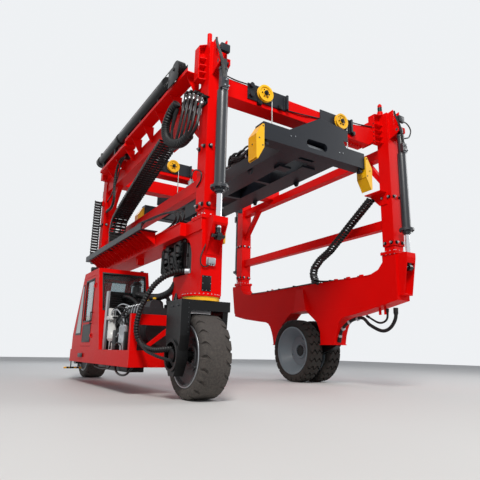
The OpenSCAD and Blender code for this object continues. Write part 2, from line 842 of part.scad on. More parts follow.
// Ribbed shoulder on the -X face of a column's head, over the half that looks along the machine
module head_shoulder(w, top) {
    face = -sleeve_w / 2;
    flange = face - w;
    rib_pitch = (top - shoulder_z - 80) / 4;
    half = sleeve_d / 2;
    block([flange - 20, flange], [-10, half], [shoulder_z, top - 5]);
    end_plate([-30, half], [
        [face + 1, sleeve_top - plate], [face + 1, sleeve_top], [flange - 20, top],
        [flange - 20, top - plate]]);
    end_plate([half - 74, half - 60], [
        [face + 1, shoulder_z], [face + 1, sleeve_top - 5], [flange - 5, top - 5],
        [flange - 5, shoulder_z]]);
    for (i = [0 : 3])
        translate([0, 0, shoulder_z + i * rib_pitch])
            linear_extrude(plate)
                polygon([[face + 1, -30], [face + 1, half], [flange - 1, half], [flange - 1, 10]]);
}

// Ear that holds the upper eye of a lift cylinder
module cylinder_ear(x) {
    face = -sleeve_d / 2;
    eye_y = face - lift_cyl_out;
    difference() {
        side_plate(x, [
            [face, eye_z - 150], [face, sleeve_top], [face - 130, sleeve_top + 20],
            [face - 130, eye_z + 150],
            [eye_y - 50, eye_z + 60], [eye_y - 50, eye_z - 50], [eye_y, eye_z - 80]]);
        round_x(30 + pin_gap, [x[0] - 1, x[1] + 1], eye_y, eye_z);
    }
}

module lift_barrels() {
    color("dimgray")
        for (c = columns)
            translate([c[0], sign(c[1]) * cyl_y, 0])
                mirror([0, c[1] > 0 ? 1 : 0, 0]) {
                    difference() {
                        union() {
                            translate([0, 0, barrel_z])
                                cylinder(r = barrel_r, h = barrel_top - barrel_z);
                            translate([0, 0, barrel_z])
                                cylinder(r = barrel_r + 45, h = 30);
                            translate([0, 0, barrel_z - 90])
                                cylinder(r = barrel_r - 12, h = 91);
                            translate([0, 0, barrel_top - 40])
                                cylinder(r = barrel_r + 10, h = 40);
                            // valve block on the barrel's head
                            block([-90, 45], [-barrel_r - 50, -barrel_r + 20],
                                [barrel_top - 420, barrel_top - 230]);
                        }
                        translate([0, 0, barrel_z - 91])
                            cylinder(r = lift_rod_r + 0.5, h = barrel_top + 61 - barrel_z);
                    }
                    block([-40, 40], [-50, 50], [barrel_top - 1, eye_z + 40]);
                    round_x(30, [-105, 105], 0, eye_z);
                }
}

module cross_beams() {
    left = left_x + sleeve_w / 2 + e;
    right = right_x - sleeve_w / 2 - right_shoulder_w - 20 - e;
    color("firebrick") {
        for (y = [-col_y, col_y - cross_d]) {
            end_plate([y, y + cross_d], [
                [left, cross_z], [left, cross_top], [right - 680, cross_top],
                [right - 470, cross_top + 25], [right - 270, cross_top + 80],
                [right - 120, cross_top + 150], [right, cross_top + 220], [right, cross_z + 120],
                [right - 60, cross_z + 90], [right - 180, cross_z]]);
            // bolted end flange
            block([right - 18, right], [y - 15, y + cross_d + 15], [cross_z + 80, cross_top + 290]);
            end_plate([y + 150, y + 180], [
                [right - 330, cross_top + 40], [right - 300, cross_top + 150],
                [right - 270, cross_top + 150], [right - 240, cross_top + 40]]);
            // stiffeners under the beam's end
            for (i = [0 : 5])
                end_plate([y + 140, y + 155], [
                    [right - 700 + i * 80, cross_z + 1], [right - 700 + i * 80, cross_z - 60],
                    [right - 640 + i * 80, cross_z + 1]]);
        }
        mid_y = [mid_beam_y, mid_beam_y + cross_d];
        block([left_x + 130 + e, right_x - 100 - e], mid_y, [cross_z, cross_top]);
        block([right_x - 100 - 2, right_x + 100], mid_y,
            [right_top_beam_z + right_top_beam_h + e, cross_top]);
        block([left_x - 130, left_x + 130 + 2], mid_y, [top_beam_z + top_beam_h + e, cross_top]);
    }
}

module top_beams() {
    color("firebrick") {
        block([left_x - 130, left_x + 130], [-inner_y, inner_y],
            [top_beam_z, top_beam_z + top_beam_h]);
        block([right_x - 100, right_x + 100], [-inner_y, inner_y],
            [right_top_beam_z, right_top_beam_z + right_top_beam_h]);
    }
}

module ties() {
    // column, side, beam's underside, brace's foot and its places along the beam
    braces = [
        [left_x, 1, top_beam_z, 4100, [2010, 2160]],
        [left_x, 0, top_beam_z, 4100, [2010, 2160]],
        [right_x, 0, right_top_beam_z, 4250, [2290, 2450]],
        [right_x, 1, right_top_beam_z, 4150, [2040, 2200]]];
    color("firebrick") {
        for (x = [left_x, right_x])
            block([x - 80, x + 80], [-inner_y, inner_y], [tie_z, tie_z + tie_h]);
        for (b = braces)
            mirror([0, b[1], 0])
                side_plate([b[0] - 60, b[0] + 60], [
                    [-inner_y, b[3]], [-inner_y, b[3] + 160], [-b[4][1], b[2] - e], [-b[4][0], b[2] - e]]);
    }
}

module cable_shelf() {
    shelf_x = [left_x - 415, left_x - 165];
    shelf_z = cross_top - 30;
    color("firebrick") {
        block(shelf_x, [-2800, 550], [shelf_z, shelf_z + 20]);
        block([shelf_x[0] - 12, shelf_x[0] + 1], [-2800, 550], [shelf_z, shelf_z + 70]);
        block([shelf_x[1] - 15, shelf_x[1]], [-2700, 550], [cross_z - 60, shelf_z + 1]);
        // saddles under the hoist cylinder
        for (y = [-2150, -900, 350])
            block([left_x - 350, left_x - 250], [y, y + 60], [shelf_z + 19, hoist_z - 75 - e]);
        block([left_x - 440, shelf_x[1]], [550, 2600], [cross_z + 220, cross_z + 240]);
        block([shelf_x[1] - 15, shelf_x[1]], [549, 2600], [cross_z + 20, cross_z + 221]);
        for (y = [-2650, -1400, -150, 1100, 2350])
            side_bracket_up([shelf_x[0], shelf_x[1] - 14], y, y > 550 ? cross_z + 221 : shelf_z + 1);
        block([left_x - 166, left_x - 130 - e], [-2700, 2600], [top_beam_z + 150, top_beam_z + 250]);
    }
}

// Triangular bracket under a shelf at height top
module side_bracket_up(x, y, top) {
    end_plate([y, y + 12], [[x[0] + 30, top], [x[1], top], [x[1], top - 180]]);
}

// Brackets that hold the upper ends of the three energy chains
module chain_brackets() {
    inner_face = right_x - sleeve_w / 2 - e;
    color("firebrick") {
        block([left_x - 150, left_x - 130 - e], [-1930, -1730], [4330, top_beam_z + 150 - e]);
        block([front_chain_x + e, left_x - sleeve_w / 2 - e], [col_y + 30, col_y + 140], [4520, 4650]);
        block([right_chain_x - 180, inner_face], [-3000, -2550], [4052, 4072]);
        side_plate([inner_face - 20, inner_face], [
            [-3000, 3800], [-3000, 4052], [-2550, 4052], [-2800, 3800]]);
    }
}

module hoist_cylinder() {
    color("dimgray") {
        round_y(75, left_x - 300, [-2300, 500], hoist_z);
        round_y(88, left_x - 300, [-2300, -2240], hoist_z);
        round_y(88, left_x - 300, [440, 500], hoist_z);
        // rope pack at the rod's end
        for (y = [-2620, -2420])
            block([left_x - 360, left_x - 240], [y - 6, y + 6], [hoist_z - 125 + e, hoist_z + 60]);
        round_y(40, left_x - 300, [-2621, -2299], hoist_z);
        for (i = [-2 : 2])
            round_x(120, [left_x - 300 + i * 26 - 9, left_x - 300 + i * 26 + 9], -2520, hoist_z + 20);
        round_x(25, [left_x - 365, left_x - 235], -2520, hoist_z + 20);
    }
}

// Plates that carry the rope sheaves on the beams, with a pair of small guide rollers
module trolley_plates() {
    // plates behind the left and right sheaves, from their sheaves' middles
    reach = [[-365, 510], [-540, 350]];
    color("slategray")
        for (y = [-col_y, mid_beam_y]) {
            for (i = [0, 1])
                block([sheave_x[i] + reach[i][0], sheave_x[i] + reach[i][1]], [y - 20, y - e],
                    [cross_z + 80, cross_top + 55]);
            for (z = [sheave_z - 105, sheave_z + 85])
                round_y(45, sheave_x[0] - 290, [y - 70, y - 19], z);
            for (x = [sheave_x[0] + 470, sheave_x[1] + 250])
                block([x, x + 40], [y - 90, y - 19], [cross_z + 90, cross_top + 40]);
        }
}

module sheaves() {
    color("gold")
        for (x = sheave_x, y = [-col_y, mid_beam_y])
            translate([x, y - 50, sheave_z])
                rotate([90, 0, 0])
                    sheave();
}

// Grooved rope sheave with a sunk web, turned about Z
module sheave() {
    half = 30 - e;
    rim_in = sheave_r - groove - 12;
    rotate_extrude()
        polygon([
            [0, -half], [55, -half], [68, -10], [rim_in - 12, -10], [rim_in, -half], [sheave_r, -half],
            [sheave_r, -20], [sheave_r - groove, -12], [sheave_r - groove, 12], [sheave_r, 20],
            [sheave_r, half], [rim_in, half], [rim_in - 12, 10], [68, 10], [55, half], [0, half]]);
}

module hoist_ropes() {
    color("gray")
        for (x = rope_x, y = rope_y)
            translate([x, y, spreader_z + end_beam_h + e])
                cylinder(r = rope_r, h = sheave_z - spreader_z - end_beam_h - e, $fn = 12);
}

module spreader_frame() {
    frame_z = [spreader_z + 15, spreader_z + end_beam_h - 10];
    outer = tele_x[1] + tele_w / 2 + 20;
    color("dimgray")
        difference() {
            union() {
                for (side = [-1, 1])
                    mirror([side > 0 ? 0 : 1, 0, 0])
                        block([tele_x[0] - tele_w / 2 - 20, outer], frame_y, frame_z);
                for (y = [frame_y[0] + 100, frame_y[0] + 1500, spreader_mid, frame_y[1] - 1500,
                        frame_y[1] - 200])
                    block([-tele_x[0], tele_x[0]], [y, y + 100], frame_z);
                for (y = rope_y)
                    block([rope_x[0] - 60, rope_x[1] + 60], [y - 30, y + 30],
                        [spreader_z + 180, spreader_z + 290]);
                for (x = rope_x, y = rope_y)
                    block([x - 45, x + 45], [y - 30, y + 30],
                        [spreader_z + 180, spreader_z + end_beam_h]);
            }
            for (side = [-1, 1], x = tele_x)
                tele_tunnel(side * x);
        }
}

// Tunnel of one telescope beam, with a slide pad left on its floor at each mouth
module tele_tunnel(x) {
    half = tele_w / 2 + tele_gap;
    z = [tele_z - tele_gap, tele_z + tele_h + tele_gap];
    difference() {
        block([x - half, x + half], [frame_y[0] - 1, frame_y[1] + 1], z);
        for (y = [[frame_y[0] + 10, frame_y[0] + 160], [frame_y[1] - 160, frame_y[1] - 10]])
            block([x - 60, x + 60], y, [z[0] - 1, tele_z - e]);
    }
}

module hydraulic_pack() {
    color("dimgray")
        block([-250, 150], [spreader_mid - 450, spreader_mid + 450],
            [spreader_z + end_beam_h - 10 + e, spreader_z + end_beam_h + 250]);
}

// End beam drawn for the rear, with two telescopes at the given places
module end_beam(tele) {
    y0 = -spreader_y;
    y1 = y0 + end_beam_d;
    mid_z = spreader_z + 180;
    beam_top = spreader_z + end_beam_h;
    slot_x = [-260, 240];
    slot_r = 80;
    color("slategray") {
        difference() {
            union() {
                block([-spreader_w / 2, spreader_w / 2], [y0, y1], [spreader_z, beam_top]);
                end_plate([y0, y0 + 20], [
                    [-650, beam_top - 1], [0, beam_top + 390], [90, beam_top + 440], [780, beam_top + 375],
                    [780, beam_top + 145], [650, beam_top + 120], [740, beam_top - 1]]);
                for (x = [-330, 480])
                    block([x, x + 16], [y0 + 1, y1 - 20], [beam_top - 1, beam_top + 170]);
            }
            for (x = [slot_x[0] + slot_r, slot_x[1] - slot_r])
                round_y(slot_r, x, [y0 - 1, y1 + 1], mid_z);
            block([slot_x[0] + slot_r, slot_x[1] - slot_r], [y0 - 1, y1 + 1],
                [mid_z - slot_r, mid_z + slot_r]);
        }
        for (x = tele)
            block([x - tele_w / 2, x + tele_w / 2], [y1 - 1, y1 + tele_len],
                [tele_z, tele_z + tele_h]);
        for (side = [-1, 1])
            translate([side * lock_gauge / 2, y0 + lock_in, 0])
                twistlock();
    }
}

// Pin and oblong head that turn in a container's corner hole
module twistlock() {
    translate([0, 0, spreader_z - 50])
        cylinder(r = 28, h = 51);
    block([-28, 28], [-52, 52], [spreader_z - 90, spreader_z - 49]);
}

module rear_end_beam() {
    end_beam([-tele_x[1], tele_x[0]]);
}

// Turns a rear piece of the spreader round to its front end
module to_front() {
    translate([0, 2 * spreader_mid, 0])
        rotate([0, 0, 180])
            children();
}

module front_end_beam() {
    to_front()
        end_beam([-tele_x[1], tele_x[0]]);
}

// Folded corner guides at the rear
module corner_guides() {
    top = spreader_z + 300;
    bottom = spreader_z - 460;
    y = -spreader_y - 12 - e;
    x = spreader_w / 2 + e;
    color("gold")
        for (side = [0, 1])
            mirror([side, 0, 0]) {
                hull() {
                    block([x, x + 12], [y, y + 200], [top - 1, top]);
                    block([x + guide_out, x + guide_out + 12], [y - 60, y + 140], [bottom, bottom + 1]);
                }
                hull() {
                    block([x - 280, x + 12], [y, y + 12], [top - 1, top]);
                    block([x + guide_out - 180, x + guide_out + 12], [y - 60, y - 48],
                        [bottom, bottom + 1]);
                }
            }
}

module rear_guides() {
    corner_guides();
}

module front_guides() {
    to_front()
        corner_guides();
}

// Energy chain: two side bands that follow the route, joined by a rung at every link
module chain_run(x, points, h) {
    band = 24;
    last = len(points) - 1;
    dirs = [for (i = [0 : last - 1]) unit(points[i + 1] - points[i])];
    // sideways step at each point of the route, longer at a bend
    steps = [for (i = [0 : last])
        let (a = dirs[max(i - 1, 0)], b = dirs[min(i, last - 1)], m = unit(a + b))
            [-m[1], m[0]] * h / 2 / (m * b)];
    outline = concat(
        [for (i = [0 : last]) points[i] + steps[i]],
        [for (i = [last : -1 : 0]) points[i] - steps[i]]);
    for (side = [x[0], x[1] - band])
        side_plate([side, side + band], outline);
    for (i = [0 : last - 1])
        let (run = points[i + 1] - points[i], count = max(1, floor(norm(run) / link_pitch)))
            for (k = [0 : count - 1])
                let (at = points[i] + run * (k + 0.5) / count)
                    translate([0, at[0], at[1]])
                        rotate([atan2(run[1], run[0]), 0, 0])
                            block([x[0] + 1, x[1] - 1], [-link_pitch / 4, link_pitch / 4],
                                [-h * 0.36, h * 0.36]);
}

function unit(v) = v / norm(v);

module chain_left() {
    color("dimgray")
        chain_run([left_chain_x - 300, left_chain_x], [
            [-1830, 4380], [-1350, 4250], [-250, 3900], [350, 3730], [820, 3560], [960, 3330], [900, 3080],
            [760, 2870]],
            100);
}

module chain_front() {
    color("dimgray")
        chain_run([front_chain_x - 190, front_chain_x], [
            [3060, 4600], [3060, 3150], [2990, 2960], [2860, 2880], [2200, 2841]], 90);
}

module chain_right() {
    color("dimgray")
        chain_run([right_chain_x - 180, right_chain_x], [
            [-2620, 3950], [-2000, 3530], [-1320, 3055], [-960, 2890], [-750, 2720], [-700, 2560],
            [-765, 2420], [-765, right_top_z + e]], 110);
}

left_base_beam();
left_legs();
chain_trays();
fixed_masts();
lift_rods();
right_beam();
right_feet();
right_gussets();
axle_carrier();
deck();
bulkheads();
engine();
radiator();
filters();
hydraulic_tank();
cab_shell();
cab_glass();
cab_seat();
cab_door();
slew_rings();
lift_columns();
lift_barrels();
cross_beams();
top_beams();
ties();
cable_shelf();
hoist_cylinder();
chain_brackets();
trolley_plates();
sheaves();
spreader_frame();
hydraulic_pack();
hoist_ropes();
rear_end_beam();
rear_guides();
front_end_beam();
front_guides();
fork_rear();
tyre_rear();
rim_rear();
fork_front();
tyre_front();
rim_front();
twin_tyres();
twin_rims();
chain_left();
chain_front();
chain_right();
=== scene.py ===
# %% [markdown]
# A container straddle carrier: a red portal that drives over a container, lifts it on
# ropes under a telescopic spreader and carries it away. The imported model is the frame.
# Each node of it is here already, so the first job is to load it and keep its size.
# %% Load the frame
import math
import random

import bmesh
import bpy
from mathutils import Matrix, Vector


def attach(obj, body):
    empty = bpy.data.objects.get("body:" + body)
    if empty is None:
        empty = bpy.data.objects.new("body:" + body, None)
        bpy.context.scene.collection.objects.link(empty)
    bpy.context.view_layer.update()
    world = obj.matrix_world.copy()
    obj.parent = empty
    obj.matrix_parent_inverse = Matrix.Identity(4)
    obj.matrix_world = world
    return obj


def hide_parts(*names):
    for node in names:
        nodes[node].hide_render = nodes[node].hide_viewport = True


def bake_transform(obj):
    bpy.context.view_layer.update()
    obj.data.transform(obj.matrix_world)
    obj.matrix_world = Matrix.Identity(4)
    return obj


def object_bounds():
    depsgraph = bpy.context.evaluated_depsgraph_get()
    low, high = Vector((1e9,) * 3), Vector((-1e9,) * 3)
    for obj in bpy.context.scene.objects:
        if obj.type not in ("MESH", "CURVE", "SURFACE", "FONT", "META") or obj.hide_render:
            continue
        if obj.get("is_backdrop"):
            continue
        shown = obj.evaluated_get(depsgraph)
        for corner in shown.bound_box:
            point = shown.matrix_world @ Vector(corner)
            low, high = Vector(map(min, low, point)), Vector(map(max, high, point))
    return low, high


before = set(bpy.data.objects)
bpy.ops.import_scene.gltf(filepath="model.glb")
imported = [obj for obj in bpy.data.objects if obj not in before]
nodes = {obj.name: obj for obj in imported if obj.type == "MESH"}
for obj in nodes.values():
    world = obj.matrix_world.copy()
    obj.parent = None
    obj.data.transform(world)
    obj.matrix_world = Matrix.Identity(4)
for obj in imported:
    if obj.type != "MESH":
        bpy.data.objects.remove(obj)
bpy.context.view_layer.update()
scene = bpy.context.scene

# %% [markdown]
# The photograph was taken from knee height behind the machine's left rear wheel. Its
# camera was solved from the column feet and heads, so its three axes are written as they
# came out: right, down and forward. The scene's camera looks along its own -Z with +Y up.
# %% Camera
CAMERA_AT = (-5.330, -9.316, 0.688)
CAMERA_RIGHT = (0.8495, -0.5273, 0.0194)
CAMERA_DOWN = (0.1402, 0.1901, -0.9717)
CAMERA_FORWARD = (0.5087, 0.8281, 0.2354)
SENSOR_MM = 36.0
LENS_MM = 34.65

camera = bpy.data.objects.new("camera", bpy.data.cameras.new("camera"))
scene.collection.objects.link(camera)
camera.data.sensor_width = SENSOR_MM
camera.data.lens = LENS_MM
axes = Matrix((CAMERA_RIGHT, -Vector(CAMERA_DOWN), -Vector(CAMERA_FORWARD))).transposed()
camera.matrix_world = Matrix.Translation(CAMERA_AT) @ axes.to_4x4()
scene.camera = camera
scene.view_settings.view_transform = "Standard"
print("camera at", CAMERA_AT, "lens", LENS_MM)

# %% [markdown]
# The machine stands on a plain pale floor in soft light. Big area lamps give the soft
# shadows of a studio. What the camera and the mirrors see behind the machine is a pale
# backdrop, chosen by Light Path, so the backdrop's brightness never lights the paint.
# %% Floor, backdrop and lamps
FLOOR_SIZE = 60.0
FLOOR_COLOUR = (0.62, 0.62, 0.61, 1)
BACKDROP = (0.86, 0.88, 0.90, 1)
SKY_FILL = (0.86, 0.90, 1.0, 1)
SKY_STRENGTH = 0.30


def plain_material(name, colour, roughness):
    made = bpy.data.materials.new(name)
    made.use_nodes = True
    shader = made.node_tree.nodes["Principled BSDF"]
    shader.inputs["Base Color"].default_value = colour
    shader.inputs["Roughness"].default_value = roughness
    return made


bpy.ops.mesh.primitive_plane_add(size=FLOOR_SIZE, location=(0, 0, -0.001))
floor = bpy.context.object
floor.name = "floor"
floor.data.materials.append(plain_material("floor_paint", FLOOR_COLOUR, 0.7))
floor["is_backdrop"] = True


def make_world():
    world = bpy.data.worlds.new("studio")
    scene.world = world
    world.use_nodes = True
    tree = world.node_tree
    tree.nodes.clear()
    out = tree.nodes.new("ShaderNodeOutputWorld")
    fill = tree.nodes.new("ShaderNodeBackground")
    seen = tree.nodes.new("ShaderNodeBackground")
    path = tree.nodes.new("ShaderNodeLightPath")
    glossy = tree.nodes.new("ShaderNodeMath")
    either = tree.nodes.new("ShaderNodeMath")
    mix = tree.nodes.new("ShaderNodeMixShader")
    fill.inputs[0].default_value = SKY_FILL
    fill.inputs[1].default_value = SKY_STRENGTH
    seen.inputs[0].default_value = BACKDROP
    glossy.operation = either.operation = "MAXIMUM"
    tree.links.new(path.outputs["Is Camera Ray"], glossy.inputs[0])
    tree.links.new(path.outputs["Is Glossy Ray"], glossy.inputs[1])
    tree.links.new(glossy.outputs[0], either.inputs[0])
    tree.links.new(path.outputs["Is Transmission Ray"], either.inputs[1])
    tree.links.new(either.outputs[0], mix.inputs[0])
    tree.links.new(fill.outputs[0], mix.inputs[1])
    tree.links.new(seen.outputs[0], mix.inputs[2])
    tree.links.new(mix.outputs[0], out.inputs[0])


def area_lamp(name, at, target, size, watts, colour=(1, 1, 1)):
    lamp = bpy.data.objects.new(name, bpy.data.lights.new(name, "AREA"))
    lamp.data.size = size
    lamp.data.energy = watts
    lamp.data.color = colour
    lamp.location = at
    lamp.rotation_euler = (Vector(target) - Vector(at)).to_track_quat("-Z", "Y").to_euler()
    scene.collection.objects.link(lamp)


make_world()
area_lamp("key", (-7, -12, 13), (0, 0, 2.5), 4, 2000, (1, 0.97, 0.93))
area_lamp("side", (12, -6, 9), (0, 0, 3), 7, 700)
area_lamp("back", (2, 14, 10), (0, 0, 3), 8, 600, (0.93, 0.96, 1))

# %% [markdown]
# Every finish on this machine changes in the same three ways: the tone drifts a little over
# a panel, dust settles near the ground, and the edges carry a painted highlight, which on the
# yellow paint is darker rubbed wear instead. Each effect is a node group with its own inputs,
# built once. The groups only put out colours, masks and values.
# %% Helpers for node groups


def new_group(name, inputs, outputs):
    group = bpy.data.node_groups.new(name, "ShaderNodeTree")
    for label, kind, value in inputs:
        made = group.interface.new_socket(label, in_out="INPUT", socket_type=kind)
        made.default_value = value
    for label, kind in outputs:
        group.interface.new_socket(label, in_out="OUTPUT", socket_type=kind)
    return group, group.nodes.new("NodeGroupInput"), group.nodes.new("NodeGroupOutput")


def add(tree, kind, values=None, **settings):
    made = tree.nodes.new(kind)
    for key, value in settings.items():
        setattr(made, key, value)
    for key, value in (values or {}).items():
        if isinstance(value, bpy.types.NodeSocket):
            tree.links.new(value, made.inputs[key])
        else:
            made.inputs[key].default_value = value
    return made


def mix_colour(tree, factor, first, second, blend="MIX"):
    made = add(tree, "ShaderNodeMix", data_type="RGBA", blend_type=blend)
    for index, value in ((0, factor), (6, first), (7, second)):
        if isinstance(value, bpy.types.NodeSocket):
            tree.links.new(value, made.inputs[index])
        else:
            made.inputs[index].default_value = value
    return made.outputs[2]


FLOAT, COLOUR = "NodeSocketFloat", "NodeSocketColor"


def maths(tree, operation, *values, clamp=False):
    """One Math node with its values in order. Gives its result."""
    made = add(tree, "ShaderNodeMath", dict(enumerate(values)), operation=operation, use_clamp=clamp)
    return made.outputs[0]


def remap(tree, value, low, high, to_low, to_high):
    """A value between low and high becomes one between to_low and to_high, and goes no further."""
    made = add(tree, "ShaderNodeMapRange", {0: value, 1: low, 2: high, 3: to_low, 4: to_high}, clamp=True)
    return made.outputs[0]


def noise(tree, where, scale, detail, roughness=0.5):
    made = add(tree, "ShaderNodeTexNoise",
               {"Vector": where, "Scale": scale, "Detail": detail, "Roughness": roughness})
    return made.outputs["Fac"]


# %% Group: dust near the ground and drift of tone


def dusty_group():
    group, given, out = new_group(
        "settled_dust",
        [("Colour", COLOUR, (0.5, 0.5, 0.5, 1)), ("Dust colour", COLOUR, (0.24, 0.21, 0.18, 1)),
         ("Dust", FLOAT, 0.3), ("Height", FLOAT, 1.2), ("Drift", FLOAT, 0.12), ("Roughness", FLOAT, 0.4)],
        [("Colour", COLOUR), ("Roughness", FLOAT), ("Mask", FLOAT)])
    take = given.outputs
    where = add(group, "ShaderNodeTexCoord").outputs["Object"]
    height = add(group, "ShaderNodeSeparateXYZ", {0: where}).outputs["Z"]
    fine = noise(group, where, 34.0, 6.0, 0.7)
    low = remap(group, height, 0.0, take["Height"], 1.0, 0.06)
    patches = remap(group, fine, 0.35, 0.72, 0.15, 1.0)
    mask = maths(group, "MULTIPLY", maths(group, "MULTIPLY", low, take["Dust"]), patches, clamp=True)
    swing = remap(group, noise(group, where, 1.7, 5.0), 0.3, 0.7, -1.0, 1.0)
    drift = maths(group, "MULTIPLY_ADD", swing, take["Drift"], 1.0)
    toned = add(group, "ShaderNodeHueSaturation", {"Value": drift, "Color": take["Colour"]})
    colour = mix_colour(group, mask, toned.outputs[0], take["Dust colour"])
    uneven = maths(group, "ADD", take["Roughness"], remap(group, fine, 0.3, 0.7, -0.05, 0.07))
    dusted = maths(group, "MULTIPLY_ADD", mask, 0.45, uneven, clamp=True)
    group.links.new(colour, out.inputs["Colour"])
    group.links.new(dusted, out.inputs["Roughness"])
    group.links.new(mask, out.inputs["Mask"])
    return group


# %% Group: painted highlight and rubbed wear on edges


def edge_group():
    group, given, out = new_group(
        "edge_highlight_and_wear",
        [("Colour", COLOUR, (0.5, 0.5, 0.5, 1)), ("Edge colour", COLOUR, (0.6, 0.6, 0.6, 1)),
         ("Width", FLOAT, 0.012), ("Amount", FLOAT, 0.5)],
        [("Colour", COLOUR), ("Mask", FLOAT)])
    take = given.outputs
    where = add(group, "ShaderNodeTexCoord").outputs["Object"]
    rounded = add(group, "ShaderNodeBevel", {"Radius": take["Width"]}, samples=4).outputs[0]
    flat = add(group, "ShaderNodeNewGeometry").outputs["Normal"]
    turn = add(group, "ShaderNodeVectorMath", {0: rounded, 1: flat}, operation="DOT_PRODUCT")
    sharp = remap(group, turn.outputs["Value"], 0.985, 0.80, 0.0, 1.0)
    edge_patches = remap(group, noise(group, where, 22.0, 8.0, 0.75), 0.42, 0.62, 0.0, 1.0)
    mask = maths(group, "MULTIPLY", maths(group, "MULTIPLY", sharp, edge_patches), take["Amount"], clamp=True)
    # Edges are mixed towards the edge colour: a painted highlight where it is lighter than the paint, rubbed
    # wear where it is darker.
    group.links.new(mix_colour(group, mask, take["Colour"], take["Edge colour"]), out.inputs["Colour"])
    group.links.new(mask, out.inputs["Mask"])
    return group


DUST = dusty_group()
EDGE = edge_group()
print("groups", DUST.name, EDGE.name)

# %% [markdown]
# A finish is one Principled shader. The groups feed its colour and roughness, and a fine
# bump gives paint its orange peel, castings their grain and rubber its dullness. Numbers
# that are the same all over, such as coat or metal, go straight on the shader's sockets.
# %% The finish of a surface
EDGE_WIDTH = 0.010
BUMP_HEIGHT = 0.002
COAT_ROUGHNESS = 0.12


def rgb(red, green, blue):
    """A colour as it is read off a screen, made linear."""
    return tuple((v / 255 / 12.92) if v <= 10 else (((v / 255 + 0.055) / 1.055) ** 2.4)
                 for v in (red, green, blue)) + (1,)


def finish(name, colour, rough, metal=0.0, coat=0.0, dust=0.25, height=1.2, drift=0.1, edge=None,
           edge_amount=0.5, bump=0.12, bump_scale=260.0, specular=0.5, soft_edge=0.0):
    """edge is the colour of the edges: a painted highlight where it is lighter than the paint, rubbed wear
    where it is darker. soft_edge is the radius that the light rounds them to.
    """
    made = bpy.data.materials.new(name)
    made.use_nodes = True
    tree = made.node_tree
    shader = tree.nodes["Principled BSDF"]
    if edge is not None:
        edge_sheen_and_wear = {"Colour": colour, "Edge colour": edge, "Width": EDGE_WIDTH, "Amount": edge_amount}
        colour = add(tree, "ShaderNodeGroup", edge_sheen_and_wear, node_tree=EDGE).outputs["Colour"]
    worn = {"Colour": colour, "Dust": dust, "Height": height, "Drift": drift, "Roughness": rough}
    dusted = add(tree, "ShaderNodeGroup", worn, node_tree=DUST)
    tree.links.new(dusted.outputs["Colour"], shader.inputs["Base Color"])
    tree.links.new(dusted.outputs["Roughness"], shader.inputs["Roughness"])
    where = add(tree, "ShaderNodeTexCoord").outputs["Object"]
    relief = add(tree, "ShaderNodeBump", {"Strength": bump, "Distance": BUMP_HEIGHT,
                                          "Height": noise(tree, where, bump_scale, 3.0)})
    if soft_edge:
        rounded = add(tree, "ShaderNodeBevel", {"Radius": soft_edge}, samples=4)
        tree.links.new(rounded.outputs[0], relief.inputs["Normal"])
    tree.links.new(relief.outputs[0], shader.inputs["Normal"])
    for socket, value in (("Metallic", metal), ("Coat Weight", coat), ("Coat Roughness", COAT_ROUGHNESS),
                          ("Specular IOR Level", specular)):
        shader.inputs[socket].default_value = value
    return made


# %% Paints and metals
# Edge colours lighter than their paint, the steel grey among them, are painted highlights on the edges; the
# yellow's darker edge is rubbed wear.
STEEL_GREY_HIGHLIGHT = rgb(128, 130, 134)
CHROME = rgb(214, 216, 220)
red_paint = finish("red_paint", rgb(230, 8, 6), 0.36, dust=0.03, drift=0.03, edge=rgb(232, 52, 42),
                   edge_amount=0.25, specular=0.06, soft_edge=0.006)
black_paint = finish("black_paint", rgb(10, 11, 13), 0.34, dust=0.04, edge=STEEL_GREY_HIGHLIGHT, edge_amount=0.22,
                     specular=0.25, soft_edge=0.006)
grey_paint = finish("grey_paint", rgb(21, 25, 33), 0.42, coat=0.05, dust=0.05, edge=rgb(84, 88, 96),
                    edge_amount=0.35, specular=0.3, soft_edge=0.005)
yellow_paint = finish("yellow_paint", rgb(247, 188, 4), 0.40, coat=0.08, dust=0.08,
                      edge=rgb(160, 120, 40), soft_edge=0.004)
barrel_paint = finish("barrel_paint", rgb(36, 40, 46), 0.34, coat=0.2, dust=0.08, edge=STEEL_GREY_HIGHLIGHT)
rim_paint = finish("rim_paint", rgb(112, 126, 134), 0.45, coat=0.05, dust=0.22, height=1.4,
                   edge=rgb(170, 176, 184))
black_paint_rim = finish("black_paint_rim", rgb(46, 50, 56), 0.45, dust=0.3, height=1.4,
                         edge=rgb(150, 154, 160))
canister_white = finish("canister_white", rgb(226, 227, 224), 0.35, coat=0.3, dust=0.15)
chrome_rod = finish("chrome_rod", CHROME, 0.12, metal=1.0, dust=0.1, drift=0.03, bump=0.02)
silver = finish("silver", rgb(176, 180, 184), 0.35, metal=0.75, dust=0.25, edge=rgb(210, 212, 214))
steel_rope = finish("steel_rope", rgb(150, 150, 148), 0.4, metal=0.8, dust=0.1)
cast_grey = finish("cast_grey", rgb(40, 42, 46), 0.5, metal=0.2, dust=0.3, edge=rgb(104, 106, 110),
                   bump=0.6, bump_scale=90.0)

# %% Rubber, plastic and cloth
tyre_rubber = finish("tyre_rubber", rgb(60, 57, 56), 0.82, dust=0.55, height=1.6, drift=0.18, bump=0.5,
                     bump_scale=120.0, specular=0.25)
twin_rubber = finish("twin_rubber", rgb(30, 29, 29), 0.85, dust=0.28, height=1.5, drift=0.2, bump=0.5,
                     bump_scale=110.0, specular=0.25)
black_plastic = finish("black_plastic", rgb(13, 13, 15), 0.45, dust=0.04, bump=0.3, specular=0.35)
floor_mat = finish("floor_mat", rgb(30, 30, 32), 0.85, dust=0.3, bump=0.9, bump_scale=150.0)
seat_cover = finish("seat_cover", rgb(38, 39, 42), 0.8, dust=0.1, bump=0.6, bump_scale=400.0)

# %% Finish of the lift rods: chrome above the eye, black paint on the eye and its pin
ROD_EYE_TOP = 2.53
ROD_EYE_BLEND = 0.005


